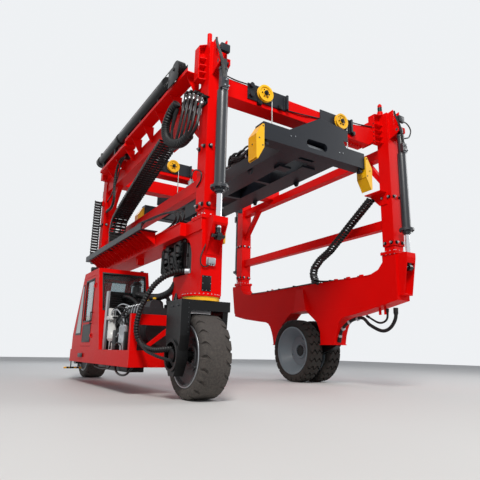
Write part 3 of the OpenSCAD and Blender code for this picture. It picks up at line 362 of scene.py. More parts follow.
def make_rod_finish():
    made = finish("rod_finish", CHROME, 0.12, dust=0.1, drift=0.03, bump=0.02)
    tree = made.node_tree
    shader = tree.nodes["Principled BSDF"]
    where = add(tree, "ShaderNodeTexCoord").outputs["Object"]
    height = add(tree, "ShaderNodeSeparateXYZ", {0: where}).outputs["Z"]
    above = remap(tree, height, ROD_EYE_TOP - ROD_EYE_BLEND, ROD_EYE_TOP + ROD_EYE_BLEND, 0.0, 1.0)
    chromed = shader.inputs["Base Color"].links[0].from_socket
    tree.links.new(mix_colour(tree, above, rgb(20, 21, 24), chromed), shader.inputs["Base Color"])
    tree.links.new(above, shader.inputs["Metallic"])
    return made


rod_finish = make_rod_finish()

# %% Glass of the cab
GLASS_TINT = (0.50, 0.58, 0.60, 1)
glass = plain_material("cab_glass", GLASS_TINT, 0.03)
for socket, value in (("Transmission Weight", 0.95), ("IOR", 1.45)):
    glass.node_tree.nodes["Principled BSDF"].inputs[socket].default_value = value
print("finishes", len([m for m in bpy.data.materials if m.use_nodes]))

# %% [markdown]
# A CAD node whose shape is right keeps its mesh and only gets its finish. The table says
# which finish belongs to which nodes, and one loop paints them.
# %% Paint the nodes
PAINT = {
    red_paint: ["left_base_beam", "left_legs", "fixed_masts", "right_beam", "right_feet", "right_gussets",
                "deck", "bulkheads", "cab_shell", "cab_door", "lift_columns", "cross_beams", "top_beams",
                "ties", "cable_shelf", "chain_brackets"],
    black_paint: ["fork_rear", "fork_front", "axle_carrier", "hydraulic_tank", "radiator"],
    grey_paint: ["chain_trays", "trolley_plates", "spreader_frame", "hydraulic_pack", "rear_end_beam",
                 "front_end_beam"],
    yellow_paint: ["slew_rings", "sheaves", "rear_guides", "front_guides"],
    barrel_paint: ["lift_barrels", "hoist_cylinder"],
    rod_finish: ["lift_rods"],
    tyre_rubber: ["tyre_rear", "tyre_front"],
    twin_rubber: ["twin_tyres"],
    rim_paint: ["twin_rims"],
    black_paint_rim: ["rim_rear", "rim_front"],
    black_plastic: ["chain_left", "chain_front", "chain_right"],
    steel_rope: ["hoist_ropes"],
    cast_grey: ["engine"],
    seat_cover: ["cab_seat"],
    glass: ["cab_glass"],
}
for paint, names in PAINT.items():
    for name in names:
        for place in nodes[name].material_slots:
            place.material = paint
painted = sum(len(names) for names in PAINT.values())
print("painted", painted, "of", len(nodes))

# %% [markdown]
# A piece gets its name and its finish when it is made. One helper then hangs it on the body
# that it moves with and hides the model's nodes that it takes the place of.
# %% Helpers for pieces
THIN = 0.0004


def new_object(name, mesh, paint=None):
    made = bpy.data.objects.new(name, mesh)
    scene.collection.objects.link(made)
    if paint is not None:
        mesh.materials.clear()
        mesh.materials.append(paint)
    return made


def from_bmesh(name, bm, paint, smooth=None):
    bmesh.ops.remove_doubles(bm, verts=bm.verts, dist=THIN / 4)
    bmesh.ops.recalc_face_normals(bm, faces=bm.faces)
    mesh = bpy.data.meshes.new(name)
    bm.to_mesh(mesh)
    bm.free()
    made = new_object(name, mesh, paint)
    if smooth is not None:
        smooth_by_angle(made, smooth)
    return made


def smooth_by_angle(piece, degrees):
    mesh = piece.data
    mesh.polygons.foreach_set("use_smooth", [True] * len(mesh.polygons))
    mesh.set_sharp_from_angle(angle=math.radians(degrees))


def keep(piece, body, replaced=()):
    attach(piece, body)
    if replaced:
        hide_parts(*replaced)
    print(piece.name, "on", body, len(piece.data.polygons), "faces")
    return piece


def joined(name, pieces):
    """Several meshes with finishes of their own become one piece."""
    with bpy.context.temp_override(active_object=pieces[0], selected_editable_objects=pieces):
        bpy.ops.object.join()
    pieces[0].name = name
    return pieces[0]


# %% [markdown]
# Geometry Nodes make what repeats. A small helper builds an empty tree with named inputs,
# and another one runs a tree on a carrier mesh: it sets each input by its identifier,
# takes the evaluated result as a plain mesh, and throws the carrier away.
# %% Helpers for Geometry Nodes
GEOMETRY, OBJECT, MATERIAL = "NodeSocketGeometry", "NodeSocketObject", "NodeSocketMaterial"


def geometry_tree(name, inputs):
    tree = bpy.data.node_groups.new(name, "GeometryNodeTree")
    tree.interface.new_socket("Geometry", in_out="INPUT", socket_type=GEOMETRY)
    for label, kind in inputs:
        tree.interface.new_socket(label, in_out="INPUT", socket_type=kind)
    tree.interface.new_socket("Geometry", in_out="OUTPUT", socket_type=GEOMETRY)
    return tree, tree.nodes.new("NodeGroupInput"), tree.nodes.new("NodeGroupOutput")


def end_tree(tree, geometry, paint, out):
    """Instances become real faces and take their finish."""
    real = add(tree, "GeometryNodeRealizeInstances", {0: geometry})
    done = add(tree, "GeometryNodeSetMaterial", {"Geometry": real.outputs[0], "Material": paint})
    tree.links.new(done.outputs[0], out.inputs["Geometry"])


def grow(name, carrier, tree, values, scrap=()):
    """Runs a tree on a carrier object and returns the result as a plain piece."""
    modifier = carrier.modifiers.new("grow", "NODES")
    modifier.node_group = tree
    sockets = {item.name: item.identifier for item in tree.interface.items_tree
               if item.item_type == "SOCKET" and item.in_out == "INPUT"}
    for label, value in values.items():
        modifier[sockets[label]] = value
    graph = bpy.context.evaluated_depsgraph_get()
    mesh = bpy.data.meshes.new_from_object(carrier.evaluated_get(graph))
    mesh.name = name
    made = new_object(name, mesh)
    for old in (carrier, *scrap):
        bpy.data.objects.remove(old)
    return made


def line_object(points):
    """A carrier mesh: one open line of edges through the points."""
    mesh = bpy.data.meshes.new("line")
    mesh.from_pydata([tuple(p) for p in points], [(i, i + 1) for i in range(len(points) - 1)], [])
    return new_object("line", mesh)


# %% [markdown]
# Energy chains carry the hoses between the fixed masts and the moving frame. Each is a
# ladder of links: two side plates, which overlap like scales, and two cross bars. The
# tree turns a line into a curve, sets one link at every pitch and turns it to the curve.
# %% Energy chains
LINK_PITCH = 0.074
LINK_PLATE = 0.009


def link_object(width, height):
    """Overlapping side plates, a divider on each side of a wide link, and two cross bars."""
    bm = bmesh.new()
    half = width / 2
    for side in (-1, 1):
        for shift, inset in ((-0.26, 0.0), (0.26, LINK_PLATE)):
            x = side * (half - 0.007 - inset)
            plate = bmesh.ops.create_cone(bm, cap_ends=True, segments=10, radius1=height / 2,
                                          radius2=height / 2, depth=LINK_PLATE)["verts"]
            bmesh.ops.rotate(bm, verts=plate, matrix=Matrix.Rotation(math.pi / 2, 3, "Y"))
            bmesh.ops.scale(bm, verts=plate, vec=(1, LINK_PITCH * 0.72 / height, 0.96))
            bmesh.ops.translate(bm, verts=plate, vec=(x, shift * LINK_PITCH, 0))
    for divider in (-1, 1) if width > 0.25 else ():
        plate = bmesh.ops.create_cube(bm, size=1)["verts"]
        bmesh.ops.scale(bm, verts=plate, vec=(0.022, LINK_PITCH * 0.9, height * 0.8))
        bmesh.ops.translate(bm, verts=plate, vec=(divider * width / 6, 0, 0))
    for z in (-1, 1):
        bar = bmesh.ops.create_cube(bm, size=1)["verts"]
        bmesh.ops.scale(bm, verts=bar, vec=(width - 0.03, LINK_PITCH * 0.56, 0.012))
        bmesh.ops.translate(bm, verts=bar, vec=(0, 0, z * (height / 2 - 0.012)))
    return from_bmesh("link", bm, None)


def chain_tree():
    tree, given, out = geometry_tree("links_along_line", [
        ("Link", OBJECT), ("Pitch", FLOAT), ("Bend", FLOAT), ("Finish", MATERIAL)])
    take = given.outputs
    curve = add(tree, "GeometryNodeMeshToCurve", {0: take["Geometry"]})
    bent = add(tree, "GeometryNodeFilletCurve", {
        "Curve": curve.outputs[0], "Count": 8, "Radius": take["Bend"], "Limit Radius": True}, mode="POLY")
    places = add(tree, "GeometryNodeCurveToPoints", {
        "Curve": bent.outputs[0], "Length": take["Pitch"]}, mode="LENGTH")
    turn = add(tree, "FunctionNodeAlignRotationToVector", {"Vector": places.outputs["Tangent"]},
               axis="Y", pivot_axis="X")
    link = add(tree, "GeometryNodeObjectInfo", {"Object": take["Link"]})
    set_out = add(tree, "GeometryNodeInstanceOnPoints", {
        "Points": places.outputs["Points"], "Instance": link.outputs["Geometry"],
        "Rotation": turn.outputs[0]})
    end_tree(tree, set_out.outputs[0], take["Finish"], out)
    return tree


# %% The three chains
CHAIN_TREE = chain_tree()
CHAIN_BEND = 0.16
# name, middle across, width, height, route along and up, heights between which the chain bends
CHAINS = [
    ("chain_left", -2.350, 0.37, 0.10,
     ((-1.83, 4.42), (-1.35, 4.29), (-0.25, 3.95), (0.35, 3.76), (0.82, 3.58), (0.96, 3.33), (0.90, 3.08),
      (0.76, 2.87)), (4.3, 3.0)),
    ("chain_front", -2.32, 0.19, 0.09,
     ((3.06, 4.60), (3.06, 3.15), (2.99, 2.96), (2.86, 2.88), (2.20, 2.85)), (4.5, 3.0)),
    ("chain_right", 2.0944, 0.18, 0.11,
     ((-2.62, 3.95), (-2.00, 3.53), (-1.32, 3.055), (-0.96, 2.89), (-0.75, 2.72), (-0.70, 2.56),
      (-0.765, 2.42), (-0.765, 2.36)), (3.9, 2.6)),
]
for name, x, width, height, route, (moving, still) in CHAINS:
    link = link_object(width, height)
    chain = grow(name + "_links", line_object([(x, y, z) for y, z in route]), CHAIN_TREE,
                 {"Link": link, "Pitch": LINK_PITCH, "Bend": CHAIN_BEND, "Finish": black_plastic}, (link,))
    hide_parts(name)
    middle_y = route[len(route) // 2][0]
    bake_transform(chain)
    print(chain.name, len(chain.data.polygons), "faces")

# %% [markdown]
# Tyres are rings whose radius follows a rule. The section is a list of points across the
# tread. Around the wheel, each pitch is a block and a groove, and a zigzag carries the
# groove over the tread, so the grid's own lines follow the edges and stay crisp.
# %% Tyres
# share of a pitch and share of the groove's depth: a block, and then the groove behind it
TREAD_STEPS = ((0.0, 0.0), (0.18, 0.0), (0.36, 0.0), (0.54, 0.0), (0.70, 0.0), (0.735, 1.0), (0.80, 1.0),
               (0.93, 1.0), (0.965, 0.0))


def tyre_mesh(name, centre, radius, width, pitches, section, zigzag, depth, paint):
    """section: (share of half width, drop from the tread, share of groove depth) from bead to bead."""
    bm = bmesh.new()
    rings = []
    for pitch in range(pitches):
        for share, sunk in TREAD_STEPS:
            ring = []
            for across, drop, groove in section:
                angle = math.tau * (pitch + share + zigzag(across)) / pitches
                r = radius - drop - sunk * groove * depth
                ring.append(bm.verts.new((centre[0] + across * width / 2, centre[1] + r * math.cos(angle),
                                          centre[2] + r * math.sin(angle))))
            rings.append(ring)
    for one, two in zip(rings, rings[1:] + rings[:1]):
        for i in range(len(section)):
            j = (i + 1) % len(section)
            bm.faces.new((one[i], one[j], two[j], two[i]))
    return from_bmesh(name, bm, paint, 32)


def mirrored(rows):
    """A section is drawn from the bead to the middle and mirrored."""
    return [(-a, d, g) for a, d, g in rows] + [(a, d, g) for a, d, g in reversed(rows)]


def hook(across):
    """The notch of the solid tyres turns back as it nears the shoulder."""
    reach = max(0.0, abs(across) - 0.5) / 0.5
    return 0.34 * math.sin(reach * 2.4) * (1 if across > 0 else -1)


def chevron(across):
    """The block edges of the twin tyres zigzag over the tread."""
    return 1.15 * abs(((abs(across) * 1.30) % 1.0) - 0.5)


# %% The steered tyres and the twin tyres
ENDS = (("rear", -1), ("front", 1))
COLUMN_Y = 2.96
STEER_X, STEER_RADIUS = -2.11, 0.62
STEER_WHEELS = {end: (STEER_X, side * COLUMN_Y, STEER_RADIUS) for end, side in ENDS}
TWIN_X, TWIN_RADIUS = (2.14, 2.71), 0.75
SOLID_SECTION = mirrored([
    (0.88, 0.18, 0), (0.94, 0.15, 0), (1.0, 0.12, 0), (1.0, 0.085, 0.2), (0.985, 0.05, 1), (0.93, 0.022, 1),
    (0.85, 0.008, 1), (0.76, 0.003, 0.85), (0.60, 0.001, 0.4), (0.50, 0.0, 0.0), (0.25, 0.0, 0.0)])
TWIN_SECTION = mirrored([
    (0.86, 0.175, 0), (0.93, 0.15, 0), (1.0, 0.125, 0), (1.0, 0.09, 0.5), (0.985, 0.05, 1), (0.92, 0.02, 1),
    (0.82, 0.006, 1), (0.66, 0.002, 1), (0.48, 0.0, 1), (0.30, 0.0, 1), (0.14, 0.0, 1), (0.02, 0.0, 1)])
for end, centre in STEER_WHEELS.items():
    tyre = tyre_mesh("tread_" + end, centre, STEER_RADIUS, 0.48, 21, SOLID_SECTION, hook, 0.034, tyre_rubber)
    keep(tyre, "wheel_" + end, ("tyre_" + end,))
twins = [tyre_mesh("tread_twin", (x, 0, TWIN_RADIUS), TWIN_RADIUS, 0.38, 24, TWIN_SECTION, chevron, 0.045,
                   twin_rubber) for x in TWIN_X]
keep(joined("tread_twin", twins), "wheel_right", ("twin_tyres",))

# %% [markdown]
# Hoses are tubes along a smooth line. The line passes through the points that the route
# names, and the frame is carried along without twist. A corrugated hose is the same tube
# with a radius that waves, and a pressed ferrule is a thicker stretch at each end.
# %% Hoses
CORRUGATION = (0, 0.75, 1, 0.75)
FERRULE = 1.35


def circle(count, radius, start=0.0):
    """Evenly spaced pairs of coordinates round a circle."""
    angles = [start + math.tau * k / count for k in range(count)]
    return [(radius * math.cos(a), radius * math.sin(a)) for a in angles]


def skin(bm, rings):
    """Rings of vertices become one tube, closed at both ends."""
    sides = len(rings[0])
    for one, two in zip(rings, rings[1:]):
        for k in range(sides):
            bm.faces.new((one[k], one[(k + 1) % sides], two[(k + 1) % sides], two[k]))
    bm.faces.new(list(reversed(rings[0])))
    bm.faces.new(rings[-1])


def smooth_line(points, spacing):
    """Points on a Catmull-Rom curve through the route, evenly spaced."""
    p = [Vector(q) for q in points]
    p = [2 * p[0] - p[1], *p, 2 * p[-1] - p[-2]]
    fine = []
    for a, b, c, d in zip(p, p[1:], p[2:], p[3:]):
        for i in range(24):
            t = i / 24
            fine.append(0.5 * (2 * b + (c - a) * t + (2 * a - 5 * b + 4 * c - d) * t ** 2
                               + (3 * b - a - 3 * c + d) * t ** 3))
    fine.append(p[-2])
    total = sum((b - a).length for a, b in zip(fine, fine[1:]))
    count = max(2, round(total / spacing))
    wanted, walked, line = 0.0, 0.0, []
    for a, b in zip(fine, fine[1:]):
        step = (b - a).length
        while len(line) < count and wanted <= walked + step:
            line.append(a.lerp(b, (wanted - walked) / step if step else 0))
            wanted += total / count
        walked += step
    line.append(fine[-1])
    return line, total


def tube(bm, points, radius, sides, wave=0.0, pitch=0.02, ferrule=0.0):
    """Adds a closed tube to bm. wave is the depth of its corrugation, ferrule the length of its ends."""
    line, total = smooth_line(points, pitch / 4 if wave else max(0.02, radius))
    turn = None
    rings = []
    for i, here in enumerate(line):
        ahead = (line[min(i + 1, len(line) - 1)] - line[max(i - 1, 0)]).normalized()
        side = ahead.orthogonal() if turn is None else turn - ahead * turn.dot(ahead)
        turn = side.normalized()
        up = ahead.cross(turn)
        along = total * i / (len(line) - 1)
        r = radius + wave * CORRUGATION[i % 4]
        if ferrule and min(along, total - along) < ferrule:
            r = radius * FERRULE
        rings.append([bm.verts.new(here + turn * u + up * v) for u, v in circle(sides, r)])
    skin(bm, rings)


def add_hose(bm, route, radius, wave=0.0):
    """A plain hose has a ferrule at each end, a corrugated one has none."""
    tube(bm, route, radius, 12 if radius > 0.03 else 8, wave, max(0.045, 0.85 * radius),
         0 if wave else 3.2 * radius)


def hose_piece(name, hoses, paint=black_plastic):
    """hoses: (route, radius) each, with the depth of the wave after them if it is corrugated."""
    bm = bmesh.new()
    for hose in hoses:
        add_hose(bm, *hose)
    return from_bmesh(name, bm, paint, 40)


def hose_set(name, body, hoses, paint=black_plastic):
    """Hoses on one body, all in one finish."""
    return keep(hose_piece(name, hoses, paint), body)


# %% Corrugated conduit and hoses at the rear wheel
CONDUIT = [(-2.20, -2.62, 1.93), (-2.35, -2.54, 1.92), (-2.52, -2.45, 1.83), (-2.66, -2.37, 1.68),
           (-2.75, -2.30, 1.48), (-2.81, -2.24, 1.28), (-2.835, -2.21, 1.08), (-2.82, -2.21, 0.92),
           (-2.775, -2.26, 0.80), (-2.72, -2.40, 0.72), (-2.67, -2.60, 0.69), (-2.60, -2.76, 0.70),
           (-2.50, -2.93, 0.72)]
LOWER_HOSE = [(-2.80, -2.235, 0.86), (-2.76, -2.42, 0.70), (-2.73, -2.68, 0.63), (-2.65, -2.86, 0.58),
              (-2.50, -2.98, 0.54)]
conduit = hose_piece("wheel_conduit", [(CONDUIT, 0.034, 0.014), (LOWER_HOSE, 0.020, 0.005)])
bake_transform(conduit)

# %% Hose bundle beside the near left column
HOSE_TOPS = [(-2.40, 5.19), (-2.56, 5.13), (-2.73, 5.04), (-2.89, 4.92), (-3.05, 4.80)]
RETURN_HOSE = [(-2.36, -2.20, 5.08), (-2.40, -2.02, 4.98), (-2.43, -1.88, 4.74), (-2.44, -1.98, 4.46),
               (-2.44, -2.30, 4.22), (-2.43, -2.66, 4.10), (-2.41, -2.90, 4.14)]


def bundle_route(i, y, z):
    """Down from the manifold, round the bottom of the loop and up behind it."""
    return [(-2.27, y, z), (-2.31, y - 0.01, z - 0.16), (-2.36, y - 0.06, z - 0.42),
            (-2.39, y + 0.02 * (4 - i), 4.30 - 0.03 * i), (-2.40, y + 0.30 + 0.04 * i, 4.16 - 0.02 * i),
            (-2.38, -2.12 + 0.02 * i, 4.32), (-2.36, -2.02, 4.60), (-2.34, -2.06 - 0.03 * i, 4.98)]


bundle = [(bundle_route(i, y, z), 0.027) for i, (y, z) in enumerate(HOSE_TOPS)]
hose_set("top_hose_bundle", "lift_frame", bundle + [(RETURN_HOSE, 0.068, 0.016)])

# %% Hose loops under the right beam
FOOT_LOOP = [(2.30, -1.31, 0.95), (2.30, -1.42, 1.22), (2.30, -1.68, 1.40), (2.30, -2.05, 1.46),
             (2.30, -2.27, 1.30), (2.30, -2.58, 1.17), (2.31, -2.79, 1.22), (2.32, -2.93, 1.40),
             (2.325, -2.95, 1.62)]
SMALL_LOOP = [(2.33, -2.16, 1.50), (2.33, -2.49, 1.34), (2.33, -2.70, 1.40), (2.325, -2.74, 1.62)]
hose_set("right_hose_loops", "chassis", [(FOOT_LOOP, 0.036), (SMALL_LOOP, 0.022)])

# %% [markdown]
# Small machine parts are put together from boxes and bars in one mesh. Two helpers add
# them to a bmesh: a box may have its edges broken, and a bar runs between two points.
# %% Helpers for small parts


def add_box(bm, low, high, broken=0.0):
    made = bmesh.ops.create_cube(bm, size=1)["verts"]
    size = Vector(high) - Vector(low)
    bmesh.ops.scale(bm, verts=made, vec=size)
    bmesh.ops.translate(bm, verts=made, vec=Vector(low) + size / 2)
    if broken:
        edges = {edge for vert in made for edge in vert.link_edges}
        bmesh.ops.bevel(bm, geom=list(edges), offset=broken, segments=2, affect="EDGES", profile=0.5)


def add_bar(bm, start, end, radius, sides=16, end_radius=None):
    start, end = Vector(start), Vector(end)
    made = bmesh.ops.create_cone(bm, cap_ends=True, segments=sides, radius1=radius,
                                 radius2=radius if end_radius is None else end_radius,
                                 depth=(end - start).length)["verts"]
    turn = (end - start).to_track_quat("Z", "Y").to_matrix()
    bmesh.ops.rotate(bm, verts=made, matrix=turn)
    bmesh.ops.translate(bm, verts=made, vec=(start + end) / 2)


def parts_mesh(name, paint, boxes=(), bars=(), hoses=()):
    """boxes: (low, high, broken edge); bars: (start, end, radius, ...); hoses: as in hose_piece."""
    bm = bmesh.new()
    for add_part, rows in ((add_box, boxes), (add_bar, bars), (add_hose, hoses)):
        for row in rows:
            add_part(bm, *row)
    return from_bmesh(name, bm, paint, 35)


def fitted(name, body, paint, boxes=(), bars=(), hoses=(), replaced=()):
    """Small parts on one body, all in one finish."""
    return keep(parts_mesh(name, paint, boxes, bars, hoses), body, replaced)


# %% [markdown]
# The frame is bolted together. A carrier mesh holds one point per bolt, with the way it
# faces and its size as attributes, and one tree sets a washer and a hexagon head on each.
# %% Bolts
COLUMNS = [(x, y) for x in (-2.035, 2.365) for y in (-COLUMN_Y, COLUMN_Y)]
CLAMP_HEIGHTS = (2.955, 3.95)
SLEEVE_HALF = (0.16, 0.15)
MAST_FLANGE = (0.205, 0.19, 2.71, 2.77)


def bolt_object():
    bm = bmesh.new()
    add_bar(bm, (0, 0, 0), (0, 0, 0.22), 1.0, 12)
    add_bar(bm, (0, 0, 0.2), (0, 0, 0.85), 0.72, 6)
    add_bar(bm, (0, 0, 0.8), (0, 0, 1.15), 0.36, 8)
    return from_bmesh("bolt", bm, None)


def bolt_tree():
    tree, given, out = geometry_tree("bolts_on_points", [("Bolt", OBJECT), ("Finish", MATERIAL)])
    facing = add(tree, "GeometryNodeInputNamedAttribute", {"Name": "facing"}, data_type="FLOAT_VECTOR")
    size = add(tree, "GeometryNodeInputNamedAttribute", {"Name": "size"}, data_type="FLOAT")
    turn = add(tree, "FunctionNodeAlignRotationToVector", {"Vector": facing.outputs[0]}, axis="Z")
    bolt = add(tree, "GeometryNodeObjectInfo", {"Object": given.outputs["Bolt"]})
    set_out = add(tree, "GeometryNodeInstanceOnPoints", {
        "Points": given.outputs["Geometry"], "Instance": bolt.outputs["Geometry"],
        "Rotation": turn.outputs[0], "Scale": size.outputs[0]})
    end_tree(tree, set_out.outputs[0], given.outputs["Finish"], out)
    return tree


BOLT_TREE = bolt_tree()


def bolts(name, body, places, paint):
    """places: (point, facing, size)."""
    mesh = bpy.data.meshes.new("places")
    mesh.from_pydata([p for p, f, r in places], [], [])
    mesh.attributes.new("facing", "FLOAT_VECTOR", "POINT")
    mesh.attributes.new("size", "FLOAT", "POINT")
    for i, (p, f, r) in enumerate(places):
        mesh.attributes["facing"].data[i].vector = f
        mesh.attributes["size"].data[i].value = r
    bolt = bolt_object()
    made = grow(name, new_object("places", mesh), BOLT_TREE, {"Bolt": bolt, "Finish": paint}, (bolt,))
    return keep(made, body)


def clamp_places():
    """Two slide screws on every side of each sliding column, at both heights."""
    places = []
    for x, y in COLUMNS:
        for z in CLAMP_HEIGHTS:
            for side in (-1, 1):
                for shift in (-0.085, 0.085):
                    places.append(((x + side * SLEEVE_HALF[0], y + shift, z), (side, 0, 0), 0.040))
                    places.append(((x + shift, y + side * SLEEVE_HALF[1], z), (0, side, 0), 0.040))
    return places


def flange_places():
    """Bolts round the mast feet, seen from above and, outside the beams, from below."""
    half_x, half_y, low_z, top_z = MAST_FLANGE
    places = []
    for x, y in COLUMNS:
        for i in range(4):
            along = -0.16 + 0.32 * i / 3
            for side in (-1, 1):
                edge_x, edge_y = side * (half_x - 0.013), side * (half_y - 0.012)
                for spot in ((x + edge_x, y + along, top_z), (x + along, y + edge_y, top_z)):
                    places.append((spot, (0, 0, 1), 0.016))
                if x > 0:
                    places.append(((x + edge_x, y + along, low_z), (0, 0, -1), 0.012))
    return places


SLEW_BOLTS = 28
SLEW_BOLT_RADIUS = 0.286
SLEW_PLATE_TOP = 1.51
LEG_BOX = (-2.215, -1.855, 0.175)


def slew_places():
    """Bolts round the turntables, but for those that the leg covers."""
    places = []
    x0, x1, half_y = LEG_BOX
    for y in (-COLUMN_Y, COLUMN_Y):
        for dx, dy in circle(SLEW_BOLTS, SLEW_BOLT_RADIUS, math.pi / SLEW_BOLTS):
            x = STEER_X + dx
            if not (x0 - 0.015 < x < x1 + 0.015 and abs(dy) < half_y + 0.015):
                places.append(((x, y + dy, SLEW_PLATE_TOP), (0, 0, 1), 0.012))
    return places


HATCH = (-2.195, -2.035, 1.565, 1.805)
REAR_LEG_FACE = -3.135


def hatch_places():
    """Eight bolts round the hatch, with none in its middle."""
    x0, x1, z0, z1 = HATCH
    rows = [(x, z) for x in (x0 + 0.015, (x0 + x1) / 2, x1 - 0.015)
            for z in (z0 + 0.015, (z0 + z1) / 2, z1 - 0.015)]
    del rows[4]
    return [((x, REAR_LEG_FACE - 0.006, z), (0, -1, 0), 0.008) for x, z in rows]


def cross_beam_places():
    """Bolts of the right end flanges, on both sides of the front and rear cross beams."""
    return [((1.93, y, z), (-1, 0, 0), 0.014)
            for beam in ((-2.975, -2.615), (2.615, 2.975))
            for y in (beam[0] + 0.008, beam[1] - 0.008)
            for z in (5.20, 5.30, 5.40, 5.50, 5.60)]


# %% Bolts of the columns, the chassis and the end beams
SPREADER_Y = -0.33
BEAM_BOLTS = ((-0.62, 4.45), (-0.52, 4.47), (0.55, 4.43), (0.64, 4.44))
STUD_STANDS_OUT = 0.034
clamps = clamp_places()
bolts("column_bolts", "lift_frame", clamps + cross_beam_places(), black_paint)
bolts("column_studs", "lift_frame", [(Vector(at) + STUD_STANDS_OUT * Vector(facing), facing, 0.024)
                                     for at, facing, size in clamps], silver)
bolts("chassis_bolts", "chassis", flange_places() + slew_places() + hatch_places(), silver)
for end, side in ENDS:
    face_y = SPREADER_Y + side * 2.99
    bolts("beam_bolts_" + end, "spreader_" + end,
          [((-side * x, face_y, z), (0, side, 0), 0.011) for x, z in BEAM_BOLTS], silver)

# %% [markdown]
# The spreader hangs on four wire ropes. Six strands wind round each rope, so its radius
# rises and falls around it and the pattern turns as it goes down. The ropes stretch
# between the lift frame and the spreader, as they pay out from the hoist.
# %% Wire ropes
SHEAVE_X, SHEAVE_Y, SHEAVE_Z = (-0.97, 0.93), (-3.01, 1.15), 5.33
ROPE_OUT = 0.1513
ROPE_FOOT = 4.57
ROPE_RADIUS = 0.011
LAY = 0.09


def rope_mesh(bm, start, end, radius, sides=18, step=0.01):
    axis = end - start
    turn = axis.to_track_quat("Z", "Y").to_matrix()
    count = max(2, round(axis.length / step))
    rings = []
    for i in range(count + 1):
        at = start.lerp(end, i / count)
        wind = math.tau * axis.length * i / count / LAY
        rings.append([bm.verts.new(at + turn @ Vector((math.cos(a), math.sin(a), 0)) * radius
                                   * (0.80 + 0.20 * abs(math.cos(3 * (a - wind)))))
                      for a in (math.tau * k / sides for k in range(sides))])
    skin(bm, rings)


def rope_piece(name, runs, radius):
    bm = bmesh.new()
    for start, end in runs:
        rope_mesh(bm, Vector(start), Vector(end), radius)
    return from_bmesh(name, bm, steel_rope, 40)


ropes = rope_piece("wire_ropes", [((x + ROPE_OUT, y, SHEAVE_Z), (x + ROPE_OUT, y, ROPE_FOOT))
                                  for x in SHEAVE_X for y in SHEAVE_Y], ROPE_RADIUS)
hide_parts("hoist_ropes")
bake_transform(ropes)
print("ropes", len(ropes.data.polygons), "faces")

# %% [markdown]
# Along the top of the left side runs a shelf of bent plate on brackets. The ram that pulls
# the hoist ropes lies on it, with its rope pack at the rear. Brackets are outlines that
# are drawn across the machine and given a thickness, which is how they are cut and welded.
# %% Shelf
SHELF_X = (-2.450, -2.200)
SHELF_STRETCHES = (((-2.80, 0.55), 5.370), ((0.55, 2.60), 5.280))
TOP_BEAM_FACE = -2.166
BRACKET_PITCH = 0.72


def add_plate(bm, outline, axis, start, thick):
    """An outline of two of the three coordinates, made thick along the axis that is left."""
    def at(pair, depth):
        point = list(pair)
        point.insert(axis, depth)
        return bm.verts.new(point)
    low = [at(pair, start) for pair in outline]
    high = [at(pair, start + thick) for pair in outline]
    bm.faces.new(low)
    bm.faces.new(list(reversed(high)))
    for i in range(len(outline)):
        j = (i + 1) % len(outline)
        bm.faces.new((low[j], low[i], high[i], high[j]))


bm = bmesh.new()
for (y0, y1), z in SHELF_STRETCHES:
    add_box(bm, (SHELF_X[0], y0, z), (SHELF_X[1], y1, z + 0.018), 0.003)
    add_box(bm, (SHELF_X[0] - 0.012, y0, z), (SHELF_X[0] + 0.001, y1, z + 0.07), 0.003)
    bracket = [(SHELF_X[0] + 0.03, z + 0.001), (TOP_BEAM_FACE, z + 0.001), (TOP_BEAM_FACE, 5.02),
               (TOP_BEAM_FACE - 0.05, 5.02)]
    for i in range(int((y1 - y0) / BRACKET_PITCH) + 1):
        add_plate(bm, bracket, 1, y0 + 0.12 + i * BRACKET_PITCH, 0.014)
add_box(bm, (SHELF_X[0], 0.543, 5.280), (SHELF_X[1], 0.557, 5.388))
keep(from_bmesh("ram_shelf", bm, red_paint), "lift_frame", ("cable_shelf",))

# %% Hoist ram and its rope pack
RAM_X, RAM_Z, RAM_RADIUS = -2.415, 5.63, 0.122
PACK_Y, PACK_Z, PACK_RADIUS = -2.30, 5.665, 0.172
# where each stretch of the ram starts and ends along the machine, and its radius
RAM_STRETCHES = ((-1.85, 2.70, RAM_RADIUS), (-1.87, -1.78, 0.142), (-1.80, -1.62, 0.132),
                 (0.96, 1.05, 0.145), (2.58, 2.74, 0.142), (2.73, 2.80, 0.06))
RAM_FEET = ((-1.45, 5.387), (-0.45, 5.387), (0.40, 5.387), (1.35, 5.297), (2.35, 5.297))
ram_bars = [((RAM_X, y0, RAM_Z), (RAM_X, y1, RAM_Z), r, 40) for y0, y1, r in RAM_STRETCHES]
ram_boxes = [((RAM_X - 0.04, y, z), (RAM_X + 0.04, y + 0.07, RAM_Z - 0.07), 0.006) for y, z in RAM_FEET]
ram_boxes += [((RAM_X - 0.03, y, RAM_Z + 0.10), (RAM_X + 0.03, y + 0.08, RAM_Z + 0.17), 0.008)
              for y in (-1.75, 2.50)]
for x in (RAM_X - 0.095, RAM_X + 0.083):
    ram_boxes.append(((x, -2.50, 5.387), (x + 0.012, -2.06, RAM_Z + 0.09), 0.004))
for i in range(5):
    x = RAM_X - 0.070 + 0.030 * i
    ram_bars.append(((x, PACK_Y, PACK_Z), (x + 0.020, PACK_Y, PACK_Z), PACK_RADIUS, 36))
    ram_bars.append(((x + 0.004, PACK_Y, PACK_Z), (x + 0.034, PACK_Y, PACK_Z), PACK_RADIUS - 0.03, 24))
ram_bars.append(((RAM_X - 0.11, PACK_Y, PACK_Z), (RAM_X + 0.11, PACK_Y, PACK_Z), 0.032, 20))
fitted("hoist_ram", "lift_frame", black_paint, ram_boxes, ram_bars, replaced=("hoist_cylinder",))
